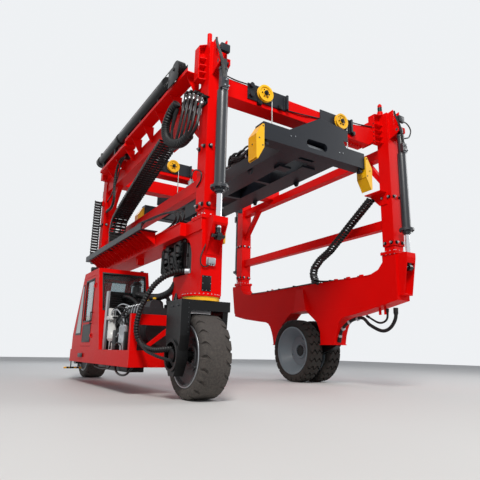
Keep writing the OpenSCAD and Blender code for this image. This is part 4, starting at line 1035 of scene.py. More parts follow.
fitted("hoist_ram_rod", "lift_frame", chrome_rod,
       bars=[((RAM_X, -2.16, RAM_Z), (RAM_X, -1.84, RAM_Z), 0.042, 32)])

# %% Lines of the hoist ram and their anchor
LINE_RADIUS = 0.009
LINE_Z = PACK_Z + PACK_RADIUS + 0.006
lines = rope_piece("hoist_lines", [((RAM_X + s, PACK_Y, LINE_Z), (RAM_X + s, 2.66, LINE_Z))
                                   for s in (-0.03, 0.03)], LINE_RADIUS)
keep(lines, "lift_frame")
fitted("line_anchor", "lift_frame", black_paint,
       [((RAM_X - 0.06, 2.60, RAM_Z + 0.10), (RAM_X + 0.06, 2.68, LINE_Z + 0.02), 0.006)])

# %% [markdown]
# The cab is glazed in black rubber. A seal is a frame of four strips round each opening.
# The rear wall and the windscreen lean, so a strip is a box on three axes of its own.
# %% Window seals
CAB_X = (-2.90, -1.85)
CAB_FLOOR, CAB_ROOF = 0.68, 2.30
REAR_LEAN = ((-0.40, CAB_FLOOR), (0.09, CAB_ROOF))
FRONT_LEAN = ((1.85, CAB_FLOOR), (1.20, CAB_ROOF))


def add_tilted(bm, origin, axes, low, high, broken=0.0):
    made = bmesh.new()
    add_box(made, low, high, broken)
    made.transform(Matrix.Translation(origin) @ Matrix(axes).transposed().to_4x4())
    mesh = bpy.data.meshes.new("tilted")
    made.to_mesh(mesh)
    made.free()
    bm.from_mesh(mesh)
    bpy.data.meshes.remove(mesh)


def add_frame(bm, origin, axes, u, v, width, depth):
    """Four strips round the opening u by v. depth is how far they stand in and out."""
    for low, high in (((u[0] - width, v[0] - width), (u[1] + width, v[0] + 0.012)),
                      ((u[0] - width, v[1] - 0.012), (u[1] + width, v[1] + width)),
                      ((u[0] - width, v[0]), (u[0] + 0.012, v[1])),
                      ((u[1] - 0.012, v[0]), (u[1] + width, v[1]))):
        add_tilted(bm, origin, axes, (*low, depth[0]), (*high, depth[1]), 0.004)


def lean_axes(lean, outward):
    """Across, up along the wall, and out of it."""
    up = Vector((0, lean[1][0] - lean[0][0], lean[1][1] - lean[0][1])).normalized()
    across = Vector((1, 0, 0)) * outward
    return across, up, across.cross(up)


def up_wall(lean, z):
    return (z - CAB_FLOOR) / (CAB_ROOF - CAB_FLOOR) * math.dist(*lean)


SEAL_DEPTH = (-0.016, 0.010)
bm = bmesh.new()
for lean, outward, z0 in ((REAR_LEAN, 1, 1.45), (FRONT_LEAN, -1, 1.05)):
    u = (CAB_X[0] + 0.09, CAB_X[1] - 0.09) if outward > 0 else (-CAB_X[1] + 0.09, -CAB_X[0] - 0.09)
    v = (up_wall(lean, z0), up_wall(lean, CAB_ROOF - 0.11))
    add_frame(bm, (0, lean[0][0], CAB_FLOOR), lean_axes(lean, outward), u, v, 0.022, SEAL_DEPTH)
right_axes = (Vector((0, 1, 0)), Vector((0, 0, 1)), Vector((1, 0, 0)))
add_frame(bm, (CAB_X[1], 0, 0), right_axes, (0.20, 1.15), (1.15, 2.18), 0.022, SEAL_DEPTH)
keep(from_bmesh("window_seals", bm, black_plastic, 35), "chassis")

# %% Door glass, seal, handle and kick panel
DOOR_GLASS = ((0.33, 0.97), (1.25, 2.10))
KICK_PANEL = (0.84, 1.17)
HANDLE_Y = (0.275, 0.300)
left_axes = (Vector((0, -1, 0)), Vector((0, 0, 1)), Vector((-1, 0, 0)))
bm = bmesh.new()
(y0, y1), (z0, z1) = DOOR_GLASS
add_frame(bm, (CAB_X[0], 0, 0), left_axes, (-y1, -y0), (z0, z1), 0.020, (-0.012, 0.009))
add_frame(bm, (CAB_X[0], 0, 0), left_axes, (-y1 + 0.02, -y0 - 0.02), KICK_PANEL, 0.018, (-0.002, 0.008))
add_box(bm, (CAB_X[0] - 0.006, y0 + 0.01, 0.83), (CAB_X[0] + 0.001, y1 - 0.01, 1.18))
add_box(bm, (CAB_X[0] - 0.045, HANDLE_Y[0], 1.18), (CAB_X[0] - 0.030, HANDLE_Y[1], 1.42), 0.006)
for z in (1.18, 1.40):
    add_box(bm, (CAB_X[0] - 0.045, HANDLE_Y[0], z), (CAB_X[0] + 0.001, HANDLE_Y[1], z + 0.02), 0.004)
keep(from_bmesh("door_trim", bm, black_plastic, 35), "cab_door")
fitted("door_glass", "cab_door", glass, [((CAB_X[0] + 0.020, y0 - 0.004, z0 - 0.004),
                                          (CAB_X[0] + 0.026, y1 + 0.004, z1 + 0.004), 0.0)])

# %% [markdown]
# Inside, the cab is lined in black, with a mat, a side console and a wheel on a column.
# The driver's seat is padded: each cushion is a box rounded by a power rule, thinner
# towards its corners, with sewn channels pressed into its face.
# %% Cab lining, console and steering wheel
LINING = [((-2.853, -0.33, 0.727), (-1.897, 1.75, 0.742)), ((-2.853, 0.14, 2.235), (-1.897, 1.16, 2.253)),
          ((-1.906, -0.25, 0.742), (-1.896, 1.70, 1.13)), ((-2.12, 0.36, 0.742), (-1.92, 0.95, 1.24), 0.02),
          ((-2.62, 1.44, 0.742), (-2.13, 1.62, 0.98), 0.03),
          ((-2.10, 0.80, 1.235), (-1.93, 0.94, 1.33), 0.015),
          ((-2.08, 0.975, 1.42), (-1.93, 1.00, 1.66), 0.01)]
WHEEL_RADIUS, SPOKE_TURN = 0.175, 2.094
column_foot, column_head = Vector((-2.375, 1.50, 0.90)), Vector((-2.375, 1.20, 1.30))
tilt = (column_head - column_foot).normalized()
levers = [((-2.02, 0.87, 1.32), (-2.02, 0.985, 1.50), 0.012, 10),
          ((-2.07, 0.60, 1.23), (-2.07, 0.58, 1.40), 0.012, 10),
          ((-2.07, 0.58, 1.38), (-2.07, 0.57, 1.46), 0.024, 14)]
spokes = []
for turn in range(3):
    spoke = Vector((math.cos(turn * SPOKE_TURN), 0, math.sin(turn * SPOKE_TURN)))
    spoke = (spoke - tilt * spoke.dot(tilt)).normalized()
    spokes.append((column_head, column_head + spoke * (WHEEL_RADIUS - 0.005), 0.010, 8))
side, up = Vector((1, 0, 0)), tilt.cross(Vector((1, 0, 0)))
wheel_rim = [column_head + side * u + up * v for u, v in circle(24, WHEEL_RADIUS)]
fitted("cab_fittings", "chassis", floor_mat, LINING,
       [(column_foot, column_head, 0.032, 16), *levers, *spokes],
       [(wheel_rim + wheel_rim[:1], 0.014)])


# %% Seat cushions
def cushion(name, low, high, face, channels, paint, cuts=20):
    """face is the axis that it swells along, channels are (axis, share) of its sewn lines."""
    bm = bmesh.new()
    add_box(bm, low, high)
    bmesh.ops.subdivide_edges(bm, edges=bm.edges, cuts=cuts, use_grid_fill=True)
    middle = (Vector(low) + Vector(high)) / 2
    half = (Vector(high) - Vector(low)) / 2
    across = [i for i in range(3) if i != face]
    for vert in bm.verts:
        local = [(vert.co[i] - middle[i]) / half[i] for i in range(3)]
        reach = max(abs(v) for v in local)
        power = sum(abs(v) ** 7 for v in local) ** (1 / 7)
        local = [v * reach / power for v in local]
        thin = 1 - 0.20 * max(abs(local[i]) ** 3 for i in across)
        for axis, share in channels:
            thin -= 0.16 * math.exp(-((local[axis] - share) / 0.05) ** 2)
        local[face] *= thin
        for i in across:
            local[i] *= 1 - 0.03 * (1 - abs(local[across[1 - across.index(i)]]) ** 2)
        vert.co = [middle[i] + local[i] * half[i] for i in range(3)]
    made = from_bmesh(name, bm, paint, 60)
    return made


fitted("seat_frame", "chassis", black_plastic, [
    ((-2.57, 0.34, 0.742), (-2.18, 0.72, 0.80), 0.01), ((-2.52, 0.39, 0.80), (-2.23, 0.67, 0.94), 0.015),
    ((-2.58, 0.33, 0.94), (-2.17, 0.74, 1.01), 0.015), ((-2.55, 0.302, 1.00), (-2.20, 0.325, 1.62), 0.008),
    ((-2.41, 0.312, 1.60), (-2.34, 0.330, 1.68), 0.004)], replaced=("cab_seat",))
for name, low, high, face, channels in (
        ("seat_cushion", (-2.59, 0.33, 1.005), (-2.16, 0.75, 1.145), 2, ((0, -0.45), (0, 0.45), (1, 0.2))),
        ("seat_back", (-2.58, 0.320, 1.13), (-2.17, 0.400, 1.62), 1, ((0, -0.5), (0, 0.5), (2, 0.1))),
        ("head_rest", (-2.50, 0.322, 1.63), (-2.25, 0.398, 1.75), 1, ())):
    keep(cushion(name, low, high, face, channels, seat_cover), "chassis")

# %% Sleeves and manifold of the hose bundle
fitted("hose_sleeves", "lift_frame", silver, bars=[
    ((-2.272 - 0.16 * drop, y, z - drop), (-2.285 - 0.16 * drop, y, z - drop - 0.10), 0.036, 16)
    for y, z in HOSE_TOPS for drop in (0.02, 0.22)])
manifold = [((-2.30, y - 0.06, z - 0.015), (-2.165, y + 0.06, z + 0.035), 0.006) for y, z in HOSE_TOPS]
for one, two in zip(HOSE_TOPS, HOSE_TOPS[1:]):
    y, z = (one[0] + two[0]) / 2, (one[1] + two[1]) / 2
    manifold.append(((-2.31, y - 0.1, z - 0.20), (-2.285, y + 0.1, z - 0.17), 0.004))
manifold += [((-2.21, -3.10, 4.70), (-2.165, -2.34, 4.80), 0.004),
             ((-2.21, -2.62, 4.79), (-2.165, -2.34, 5.10), 0.004)]
fitted("hose_manifold", "lift_frame", black_paint, manifold)

# %% [markdown]
# Each lift barrel carries a valve block with silver fittings, and hoses come down to it
# from the column's head. The four barrels are alike, so one loop dresses them all.
# %% Valve blocks and head hoses of the lift barrels
BARREL_OUT = 0.35
silver_boxes, silver_bars, black_boxes, head_hoses = [], [], [], []
for x, y in COLUMNS:
    out = 1 if y > 0 else -1
    axis = y + out * BARREL_OUT
    face = axis + out * 0.066
    low_y, high_y = sorted((face, face + out * 0.045))
    silver_boxes += [((x - 0.055, low_y, 4.86), (x + 0.055, high_y, 4.95), 0.006),
                     ((x - 0.045, low_y, 4.97), (x + 0.020, high_y, 5.05), 0.006)]
    for shift, z in ((-0.035, 4.905), (0.035, 4.905), (-0.01, 5.01)):
        silver_bars.append(((x + shift, face, z), (x + shift, face + out * 0.085, z), 0.014, 12))
    low_y, high_y = sorted((axis, axis + out * 0.07))
    black_boxes.append(((x - 0.085, low_y, 5.59), (x + 0.085, high_y, 5.73), 0.008))
    for i in (-1, 0, 1):
        route = [(x - 0.15, axis, 5.80 + 0.03 * i), (x - 0.13 + 0.015 * i, axis + out * 0.03, 5.66),
                 (x - 0.09 + 0.02 * i, axis + out * 0.07, 5.48),
                 (x - 0.05 + 0.02 * i, axis + out * 0.075, 5.30),
                 (x - 0.02 + 0.02 * i, axis + out * 0.085, 5.06)]
        head_hoses.append((route, 0.013))
fitted("valve_fittings", "lift_frame", silver, silver_boxes, silver_bars)
fitted("head_boxes", "lift_frame", grey_paint, black_boxes)
hose_set("head_hoses", "lift_frame", head_hoses)

# %% [markdown]
# The engine stands open behind the cab, so its pipes, belts and canisters show. They are
# tubes on smooth lines and turned bodies, each fixed at both ends to a casting or a box.
# %% Canisters
DECK_TOP = 0.68
# paint, slot, nodes that it stands for, and the place, radius, foot and head of each canister
CANISTERS = {
    "fuel_canister": (canister_white, "black_plastic", ("filters",), [(-2.78, -0.76, 0.085, 0.88, 1.19)]),
    "oil_canisters": (silver, "silver", (), [
        (-2.805, -1.42, 0.055, 0.80, 1.06), (-2.805, -1.56, 0.055, 0.80, 1.06),
        (-2.74, -1.30, 0.060, 0.86, 1.16)])}
for name, (paint, slot, replaced, rows) in CANISTERS.items():
    bars = []
    for x, y, r, z0, z1 in rows:
        bars += [((x, y, DECK_TOP), (x, y, z0), 0.5 * r, 20),
                 ((x, y, z0 - 0.045), (x, y, z0), 0.7 * r, 28, r),
                 ((x, y, z0), (x, y, z1), r, 32), ((x, y, z1), (x, y, z1 + 0.02), r, 32, 0.86 * r),
                 ((x, y, z1 + 0.01), (x, y, z1 + 0.055), 0.72 * r, 24)]
    fitted(name, "chassis", paint, bars=bars, replaced=replaced)
fitted("canister_head", "chassis", canister_white, [
    ((-2.87, -0.88, 1.215), (-2.73, -0.62, 1.285), 0.008),
    ((-2.85, -0.72, 1.28), (-2.76, -0.66, 1.43), 0.006),
    ((-2.83, -0.93, 1.225), (-2.77, -0.87, 1.275), 0.004)],
    [((-2.80, -0.60, 1.25), (-2.80, -0.55, 1.25), 0.026, 16)])
fitted("relay_boxes", "chassis", black_plastic, [
    ((-2.86, -1.24, DECK_TOP), (-2.755, -1.06, 1.02), 0.01),
    ((-2.85, -1.72, DECK_TOP), (-2.74, -1.64, 0.98), 0.01),
    ((-2.83, -0.94, 1.23), (-2.70, -0.66, 1.27), 0.006), ((-2.84, -1.62, 1.10), (-2.70, -1.36, 1.13), 0.006)],
    [((-2.70, -0.90, DECK_TOP), (-2.70, -0.90, 1.24), 0.012),
     ((-2.71, -1.49, DECK_TOP), (-2.71, -1.49, 1.11), 0.012)])

# %% Intake, coolant pipes, belt and wiring of the engine
ENGINE_X = -2.335
BELT_Y = -0.87
ENGINE_PIPES = [
    ([(-2.35, -0.72, 1.72), (-2.33, -0.98, 1.68), (-2.30, -1.38, 1.62), (-2.27, -1.75, 1.60),
      (-2.20, -2.02, 1.68), (-2.10, -2.08, 1.92)], 0.055, 0.007),
    ([(-2.55, -0.57, 1.66), (-2.52, -0.82, 1.64), (-2.45, -0.98, 1.55), (-2.40, -1.06, 1.42)], 0.033),
    ([(-2.70, -0.57, 0.84), (-2.72, -0.84, 0.86), (-2.66, -1.02, 0.93), (-2.58, -1.10, 0.97)], 0.033),
    ([(-2.78, -0.70, 1.22), (-2.80, -0.74, 1.36), (-2.76, -0.92, 1.44), (-2.66, -1.10, 1.40),
      (-2.60, -1.16, 1.33)], 0.015),
    ([(-2.80, -1.42, 1.10), (-2.82, -1.38, 1.24), (-2.74, -1.30, 1.32), (-2.62, -1.34, 1.30)], 0.015),
    ([(-2.80, -1.56, 1.10), (-2.83, -1.62, 1.22), (-2.76, -1.72, 1.28), (-2.62, -1.70, 1.24)], 0.015),
    ([(-2.84, -0.90, 0.70), (-2.86, -1.00, 0.82), (-2.85, -1.22, 0.76), (-2.86, -1.40, 0.80),
      (-2.80, -1.60, 0.72)], 0.014),
    ([(-2.80, -1.16, 1.02), (-2.82, -1.05, 1.12), (-2.76, -0.96, 1.02), (-2.72, -0.92, 0.80)], 0.010),
    ([(-2.80, -1.10, 1.02), (-2.84, -1.20, 1.20), (-2.70, -1.32, 1.38), (-2.50, -1.30, 1.45)], 0.012),
    ([(-2.02, -1.54, 1.47), (-2.00, -1.40, 1.62), (-1.98, -1.10, 1.66), (-2.00, -0.80, 1.60),
      (-2.05, -0.57, 1.58)], 0.035),
]
BELT = [(ENGINE_X + 0.1, BELT_Y, 0.92), (ENGINE_X + 0.088, BELT_Y, 1.17), (ENGINE_X + 0.02, BELT_Y, 1.255),
        (-2.67, BELT_Y, 1.242), (-2.72, BELT_Y, 1.19), (ENGINE_X - 0.098, BELT_Y, 0.90),
        (ENGINE_X, BELT_Y, 0.82), (ENGINE_X + 0.1, BELT_Y, 0.92)]
hose_set("engine_pipes", "chassis", ENGINE_PIPES + [(BELT, 0.009)])
INTAKE_AT = (-2.35, -0.70)
# foot, head, radius, sides and, where it tapers, the radius at its head
INTAKE = ((1.50, 1.72, 0.05, 24), (1.66, 1.86, 0.085, 32), (1.86, 1.89, 0.05, 24), (1.885, 1.90, 0.10, 32),
          (1.90, 1.96, 0.10, 32, 0.07))
fitted("engine_intake", "chassis", black_paint, [((-2.375, -0.72, 1.42), (-2.325, -0.56, 1.52), 0.004)],
       [((*INTAKE_AT, z0), (*INTAKE_AT, z1), *form) for z0, z1, *form in INTAKE])

# %% Fuel lines, filler caps and edges of the radiator
FUEL_LINES = [
    ([(-2.83, -0.80, 1.22), (-2.85, -0.90, 1.34), (-2.82, -1.08, 1.38), (-2.74, -1.22, 1.24)], 0.011),
    ([(-2.74, -0.72, 1.22), (-2.74, -0.78, 1.42), (-2.68, -0.92, 1.50), (-2.55, -1.10, 1.44)], 0.011),
    ([(-2.84, -1.50, 0.86), (-2.86, -1.40, 0.96), (-2.85, -1.28, 0.90), (-2.84, -1.12, 0.94)], 0.009),
]
injector_lines = [([(ENGINE_X - 0.20, y, 1.42), (ENGINE_X - 0.30, y + 0.01, 1.44),
                    (ENGINE_X - 0.33, y + 0.02, 1.30)], 0.008) for y in (-1.70 + 0.14 * i for i in range(6))]
hose_set("engine_lines", "chassis", FUEL_LINES + injector_lines, silver)
fitted("filler_caps", "chassis", yellow_paint,
       bars=[((ENGINE_X, y, 1.555), (ENGINE_X, y, 1.585), 0.040, 20) for y in (-1.64, -1.28)])
RADIATOR_TOP = 1.765
edges = []
for x0, x1 in ((-2.855, -2.820), (-1.900, -1.865)):
    for y in (-0.578, -0.461):
        edges.append(((x0, y, DECK_TOP), (x1, y + 0.018, RADIATOR_TOP), 0.004))
for x in (-2.855, -1.880):
    edges.append(((x, -0.578, DECK_TOP), (x + 0.015, -0.443, RADIATOR_TOP), 0.004))
fitted("radiator_edges", "chassis", silver, edges)

# %% [markdown]
# Under the arch of the left frame hangs the valve bank that feeds the whole machine:
# blocks, coils and small accumulators on one plate, with hoses from below.
# %% Valve bank
VALVE_BLOCKS = ((-2.46, -2.28, 2.20, 2.46), (-2.22, -2.04, 2.04, 2.32), (-1.98, -1.80, 2.16, 2.44),
                (-2.44, -2.30, 1.98, 2.14), (-1.94, -1.82, 1.96, 2.10))
BANK_X = -2.235
bank_boxes = [((-2.190, -2.50, 1.93), (-2.172, -1.64, 2.522), 0.002),
              ((-2.195, -2.60, 2.17), (-2.172, -2.49, 2.23), 0.002),
              ((-2.195, -1.76, 2.17), (-2.172, -1.66, 2.23), 0.002)]
bank_bars, bank_hoses = [], []
for y0, y1, z0, z1 in VALVE_BLOCKS:
    y = (y0 + y1) / 2
    bank_boxes.append(((-2.275, y0, z0), (-2.188, y1, z1), 0.008))
    for share in (0.25, 0.75):
        z = z0 + share * (z1 - z0)
        bank_bars += [((BANK_X, y0 - 0.055, z), (BANK_X, y0 + 0.01, z), 0.024, 16),
                      ((-2.27, y, z), (-2.31, y, z), 0.018, 12)]
        bank_hoses.append(([(-2.30, y, z), (-2.34, y - 0.03, z - 0.06), (-2.31, y - 0.12, 1.96),
                            (-2.22, -2.56 + 0.04 * share, 1.93 + 0.04 * share)], 0.014))
for y in (-1.70, -2.56):
    bank_bars += [((BANK_X, y, 2.02), (BANK_X, y, 2.40), 0.048, 24),
                  ((BANK_X, y, 2.40), (BANK_X, y, 2.45), 0.048, 24, 0.015),
                  ((BANK_X, y, 1.98), (BANK_X, y, 2.02), 0.02, 24, 0.048),
                  ((BANK_X, y, 2.20), (-2.18, y, 2.20), 0.02, 12)]
fitted("valve_bank", "chassis", black_paint, bank_boxes, bank_bars, bank_hoses)
fitted("conduit_collar", "chassis", silver, bars=[((-2.17, -2.64, 1.93), (-2.23, -2.60, 1.93), 0.052, 20)])

# %% Painted shade of the step pocket in the deck's side, pump housings and pipes under the deck
DECK_PIPES = [
    ([(-2.76, -1.05, 0.425), (-2.77, -1.12, 0.33), (-2.78, -1.40, 0.275), (-2.77, -1.70, 0.30),
      (-2.72, -1.84, 0.425)], 0.018),
    ([(-2.80, 0.20, 0.425), (-2.80, 0.10, 0.36), (-2.78, -0.30, 0.335), (-2.76, -0.62, 0.35),
      (-2.74, -0.70, 0.425)], 0.014),
]
fitted("deck_underside", "chassis", black_paint, [
    # The step pocket is a thin black plate on the deck's side: painted shade where the opening is.
    ((-2.9235, 0.76, 0.52), (-2.915, 1.12, 0.60), 0.001),
    ((-2.72, -1.55, 0.32), (-2.42, -0.35, 0.421), 0.012),
    ((-2.66, -0.30, 0.345), (-2.40, 0.40, 0.421), 0.012)], hoses=DECK_PIPES)

# %% Hatch, connector box and cable on the near leg
x0, x1, z0, z1 = HATCH
fitted("leg_hatch", "chassis", black_paint,
       [((x0, REAR_LEG_FACE - 0.008, z0), (x1, REAR_LEG_FACE + 0.001, z1), 0.003)])
fitted("leg_connector", "chassis", silver, [
    ((-2.12, REAR_LEG_FACE - 0.055, 1.985), (-1.995, REAR_LEG_FACE + 0.001, 2.08), 0.006),
    ((-2.135, REAR_LEG_FACE - 0.012, 1.975), (-1.98, REAR_LEG_FACE + 0.001, 2.09), 0.002)],
    [((x, REAR_LEG_FACE - 0.03, 1.99), (x, REAR_LEG_FACE - 0.03, 1.96), 0.012)
     for x in (-2.10, -2.06, -2.02)])
LEG_CABLE = [(-2.02, -3.148, 2.46), (-2.10, -3.15, 2.42), (-2.17, -3.155, 2.26), (-2.235, -3.16, 2.10),
             (-2.235, -3.16, 1.98), (-2.17, -3.16, 1.93), (-2.10, -3.165, 1.965)]
hose_set("leg_cable", "chassis", [(LEG_CABLE, 0.010)])

# %% [markdown]
# More hoses lie on the beams and hang at the corners. They are tubes with clips that hold
# them, and every one starts and ends at a fitting, a box or a chain.
# %% Hoses on the trays and on the right beam
TRAY_HOSE = [(0.72, 2.92), (0.10, 3.10), (-0.28, 3.24), (-0.75, 3.21), (-1.28, 3.17), (-1.90, 3.08),
             (-2.20, 2.95), (-2.05, 2.82), (-1.50, 2.77)]
BEAM_HOSES = [
    ([(2.0944, -0.74, 2.46), (2.16, -0.90, 2.385), (2.33, -1.30, 2.374), (2.39, -2.05, 2.374),
      (2.37, -2.50, 2.40)], 0.021),
    ([(2.20, -0.70, 2.375), (2.24, 0.30, 2.374), (2.26, 1.56, 2.374), (2.33, 2.40, 2.40)], 0.021),
    ([(2.25, -0.80, 2.368), (2.30, 0.30, 2.367), (2.31, 1.50, 2.367)], 0.013),
]
BEAM_CLIPS = ((2.36, -1.55), (2.38, -1.95), (2.23, 0.2), (2.27, 0.9), (2.28, 1.45), (2.29, -1.12))
tray_hoses = [([(-2.27 + 0.028 * i, y + 0.06 * math.sin(2.3 * i + at), z + 0.012 * i * (1 if z > 2.9 else 0))
                for at, (y, z) in enumerate(TRAY_HOSE)], 0.013) for i in range(6)]
tray_hoses += [([(x, -1.5, 2.762), (x - 0.01, -0.4, 2.765), (x, 0.7, 2.762)], 0.018)
               for x in (-2.05, -2.10, -2.15)]
hose_set("chassis_hoses", "chassis", tray_hoses + BEAM_HOSES)
fitted("beam_clips", "chassis", black_paint,
       [((x - 0.06, y - 0.02, 2.349), (x + 0.06, y + 0.02, 2.402), 0.004) for x, y in BEAM_CLIPS])

# %% Hoses and boxes on the lift frame, and the warning lamp's socket
FRAME_HOSES = [
    ([(-2.20, 1.00, 5.25), (-2.29, 1.28, 5.26), (-2.31, 1.56, 5.05), (-2.31, 1.65, 4.66),
      (-2.30, 1.62, 4.34), (-2.28, 1.84, 4.17), (-2.22, 2.40, 4.22), (-2.14, 2.80, 4.30)], 0.030, 0.007),
    ([(-2.22, 0.90, 5.24), (-2.30, 1.20, 5.16), (-2.30, 1.42, 4.90), (-2.28, 1.66, 4.72),
      (-2.20, 2.30, 4.60), (-2.14, 2.80, 4.60)], 0.016),
    ([(2.50, -3.10, 5.70), (2.60, -3.20, 5.73), (2.76, -3.20, 5.73), (2.87, -3.20, 5.60),
      (2.80, -3.20, 5.42), (2.66, -3.20, 5.35), (2.50, -3.12, 5.30)], 0.015),
    ([(-0.43, -2.972, 5.17), (-0.10, -2.985, 5.19), (0.37, -2.972, 5.25)], 0.012),
    ([(1.15, -2.972, 5.42), (1.45, -2.975, 5.44), (1.87, -2.972, 5.50)], 0.012),
    ([(-1.85, -2.972, 5.44), (-1.60, -2.975, 5.41), (-1.30, -2.972, 5.42)], 0.012),
]
hose_set("frame_hoses", "lift_frame", FRAME_HOSES)
small_boxes = [((x + dx, -3.03, z), (x + dx + 0.08, -2.958, z + 0.08), 0.006)
               for x in SHEAVE_X for dx, z in ((0.30, 5.12), (-0.16, 5.075))]
small_boxes += [((2.524, -3.10, 5.58), (2.60, -2.98, 5.76), 0.006),
                ((-2.30, 0.93, 5.18), (-2.17, 1.08, 5.28), 0.006),
                ((-2.24, -2.40, 5.10), (-2.165, -2.10, 5.17), 0.006)]
fitted("frame_boxes", "lift_frame", black_paint, small_boxes,
       [((2.245, -2.90, 5.889), (2.245, -2.90, 6.105), 0.050, 24)])

# %% Clips of the foot hose, guard bar and rim lips
FOOT_CLIPS = (((-1.345, 1.06), (-1.362, 1.11)), ((-1.44, 1.235), (-1.48, 1.265)),
              ((-1.64, 1.375), (-1.69, 1.400)), ((-1.90, 1.445), (-1.95, 1.452)))
fitted("foot_clips", "chassis", silver,
       bars=[((2.30, *one), (2.30, *two), 0.046, 20) for one, two in FOOT_CLIPS])
BAR_START, BAR_Y, BAR_Z, BAR_STEP, BAR_STRIPES = -3.0, 1.975, 0.27, 0.055, 7
guard_posts = [((x, BAR_Y - 0.03, BAR_Z), (x, BAR_Y - 0.03, 0.422), 0.012, 10) for x in (-2.86, -2.70)]
guard_feet = [((x - 0.02, BAR_Y - 0.04, BAR_Z - 0.02), (x + 0.02, BAR_Y, BAR_Z + 0.02), 0.003)
              for x in (-2.86, -2.70)]
for name, paint, first, feet, posts in (("guard_yellow", yellow_paint, 0, [], []),
                                        ("guard_black", black_paint, 1, guard_feet, guard_posts)):
    strips = [((BAR_START + BAR_STEP * i, BAR_Y, BAR_Z), (BAR_START + BAR_STEP * (i + 1), BAR_Y, BAR_Z),
               0.020, 16) for i in range(first, BAR_STRIPES, 2)]
    fitted(name, "chassis", paint, feet, strips + posts)
RIM_LIP = 0.449
for end, (x, y, z) in STEER_WHEELS.items():
    bm = bmesh.new()
    for side in (-1, 1):
        ring = [(x + side * 0.222, y + u, z + v) for u, v in circle(48, RIM_LIP)]
        tube(bm, ring + ring[:1], 0.011, 8)
    keep(from_bmesh("rim_lips_" + end, bm, silver, 60), "wheel_" + end)

# %% [markdown]
# On the spreader, a coil of hoses follows the hoist and drives the telescopes. It lies on
# the top flange between the frame's edge and the hydraulic pack.
# %% Hoses and small parts of the spreader
layout = random.Random(11)
spreader_hoses, spreader_ends = [], []
for i in range(16):
    start = Vector((-0.60 + layout.uniform(0, 0.10), -0.95 - layout.uniform(0, 0.25), 4.58))
    end = Vector((-0.60 + layout.uniform(0, 0.12), -2.25 + layout.uniform(0, 0.40), 4.58))
    crest = 4.66 + layout.uniform(0, 0.17)
    sway = -0.655 + layout.uniform(-0.03, 0.07)
    spreader_hoses.append(([start, start + Vector((-0.01, -0.05, 0.06)), (sway, start.y - 0.22, crest),
                            (sway + 0.02, (start.y + end.y) / 2, crest - layout.uniform(0, 0.08)),
                            (sway + 0.01, end.y + 0.18, crest - 0.02), end + Vector((-0.01, 0.04, 0.06)),
                            end], 0.011 + 0.005 * (i % 3)))
    spreader_ends += [(foot, foot + Vector((0, 0, 0.035)), 0.019, 12) for foot in (start, end)]
fitted("spreader_fittings", "spreader", silver, [
    ((-0.62, -2.28, 4.555), (-0.47, -1.82, 4.585), 0.004),
    ((-0.62, -1.24, 4.555), (-0.47, -0.92, 4.585), 0.004),
    ((-0.66, -1.88, 4.555), (-0.63, -1.84, 4.66), 0.003)], spreader_ends + [
        ((-0.645, -1.92, 4.66), (-0.645, -1.78, 4.68), 0.036, 20),
        ((-0.645, -1.78, 4.68), (-0.645, -1.70, 4.69), 0.026, 16)])
hose_set("spreader_hoses", "spreader", spreader_hoses)
fitted("spreader_drives", "spreader", black_paint, [
    ((-0.60, -2.30, 4.559), (-0.20, -2.05, 4.70), 0.01), ((-0.62, -1.60, 4.559), (-0.50, -1.20, 4.72), 0.01),
    ((0.20, -1.60, 4.559), (0.55, -1.10, 4.68), 0.01), ((0.25, 0.40, 4.559), (0.55, 0.90, 4.68), 0.01),
    ((-0.55, 0.60, 4.559), (-0.25, 1.00, 4.68), 0.01), ((-0.59, -1.88, 4.559), (-0.53, -1.64, 4.62), 0.004),
    ((-0.59, -1.08, 4.559), (-0.53, -0.88, 4.61), 0.004)],
    [((-0.56, -1.90, 4.64), (-0.56, -1.62, 4.64), 0.07, 28),
     ((-0.56, -1.10, 4.63), (-0.56, -0.86, 4.63), 0.06, 28)])

# %% [markdown]
# The hose trays along the left beam are dark channels on red brackets. In the model they
# are one node, so two pieces take its place here, each with its own paint.
# %% Trays and their brackets
TRAY_X = (-2.675, -2.352)
TRAY_Y = ((-1.600, 0.495), (0.500, 2.295))
bm = bmesh.new()
for y0, y1 in TRAY_Y:
    add_box(bm, (TRAY_X[0], y0, 2.780), (TRAY_X[1], y1, 2.795), 0.002)
    add_box(bm, (TRAY_X[0], y0, 2.781), (TRAY_X[0] + 0.012, y1, 2.900), 0.003)
    add_box(bm, (TRAY_X[0], y0, 2.892), (TRAY_X[0] + 0.030, y1, 2.902), 0.002)
keep(from_bmesh("tray_channels", bm, grey_paint), "chassis", ("chain_trays",))
bm = bmesh.new()
for y0, y1 in TRAY_Y:
    for i in range(int((y1 - y0 - 0.2) / 0.2) + 1):
        add_plate(bm, [(TRAY_X[0] + 0.02, 2.781), (TRAY_X[1] + 0.001, 2.781), (TRAY_X[1] + 0.001, 2.56)], 1,
                  y0 + 0.1 + 0.2 * i, 0.012)
keep(from_bmesh("tray_brackets", bm, red_paint), "chassis")

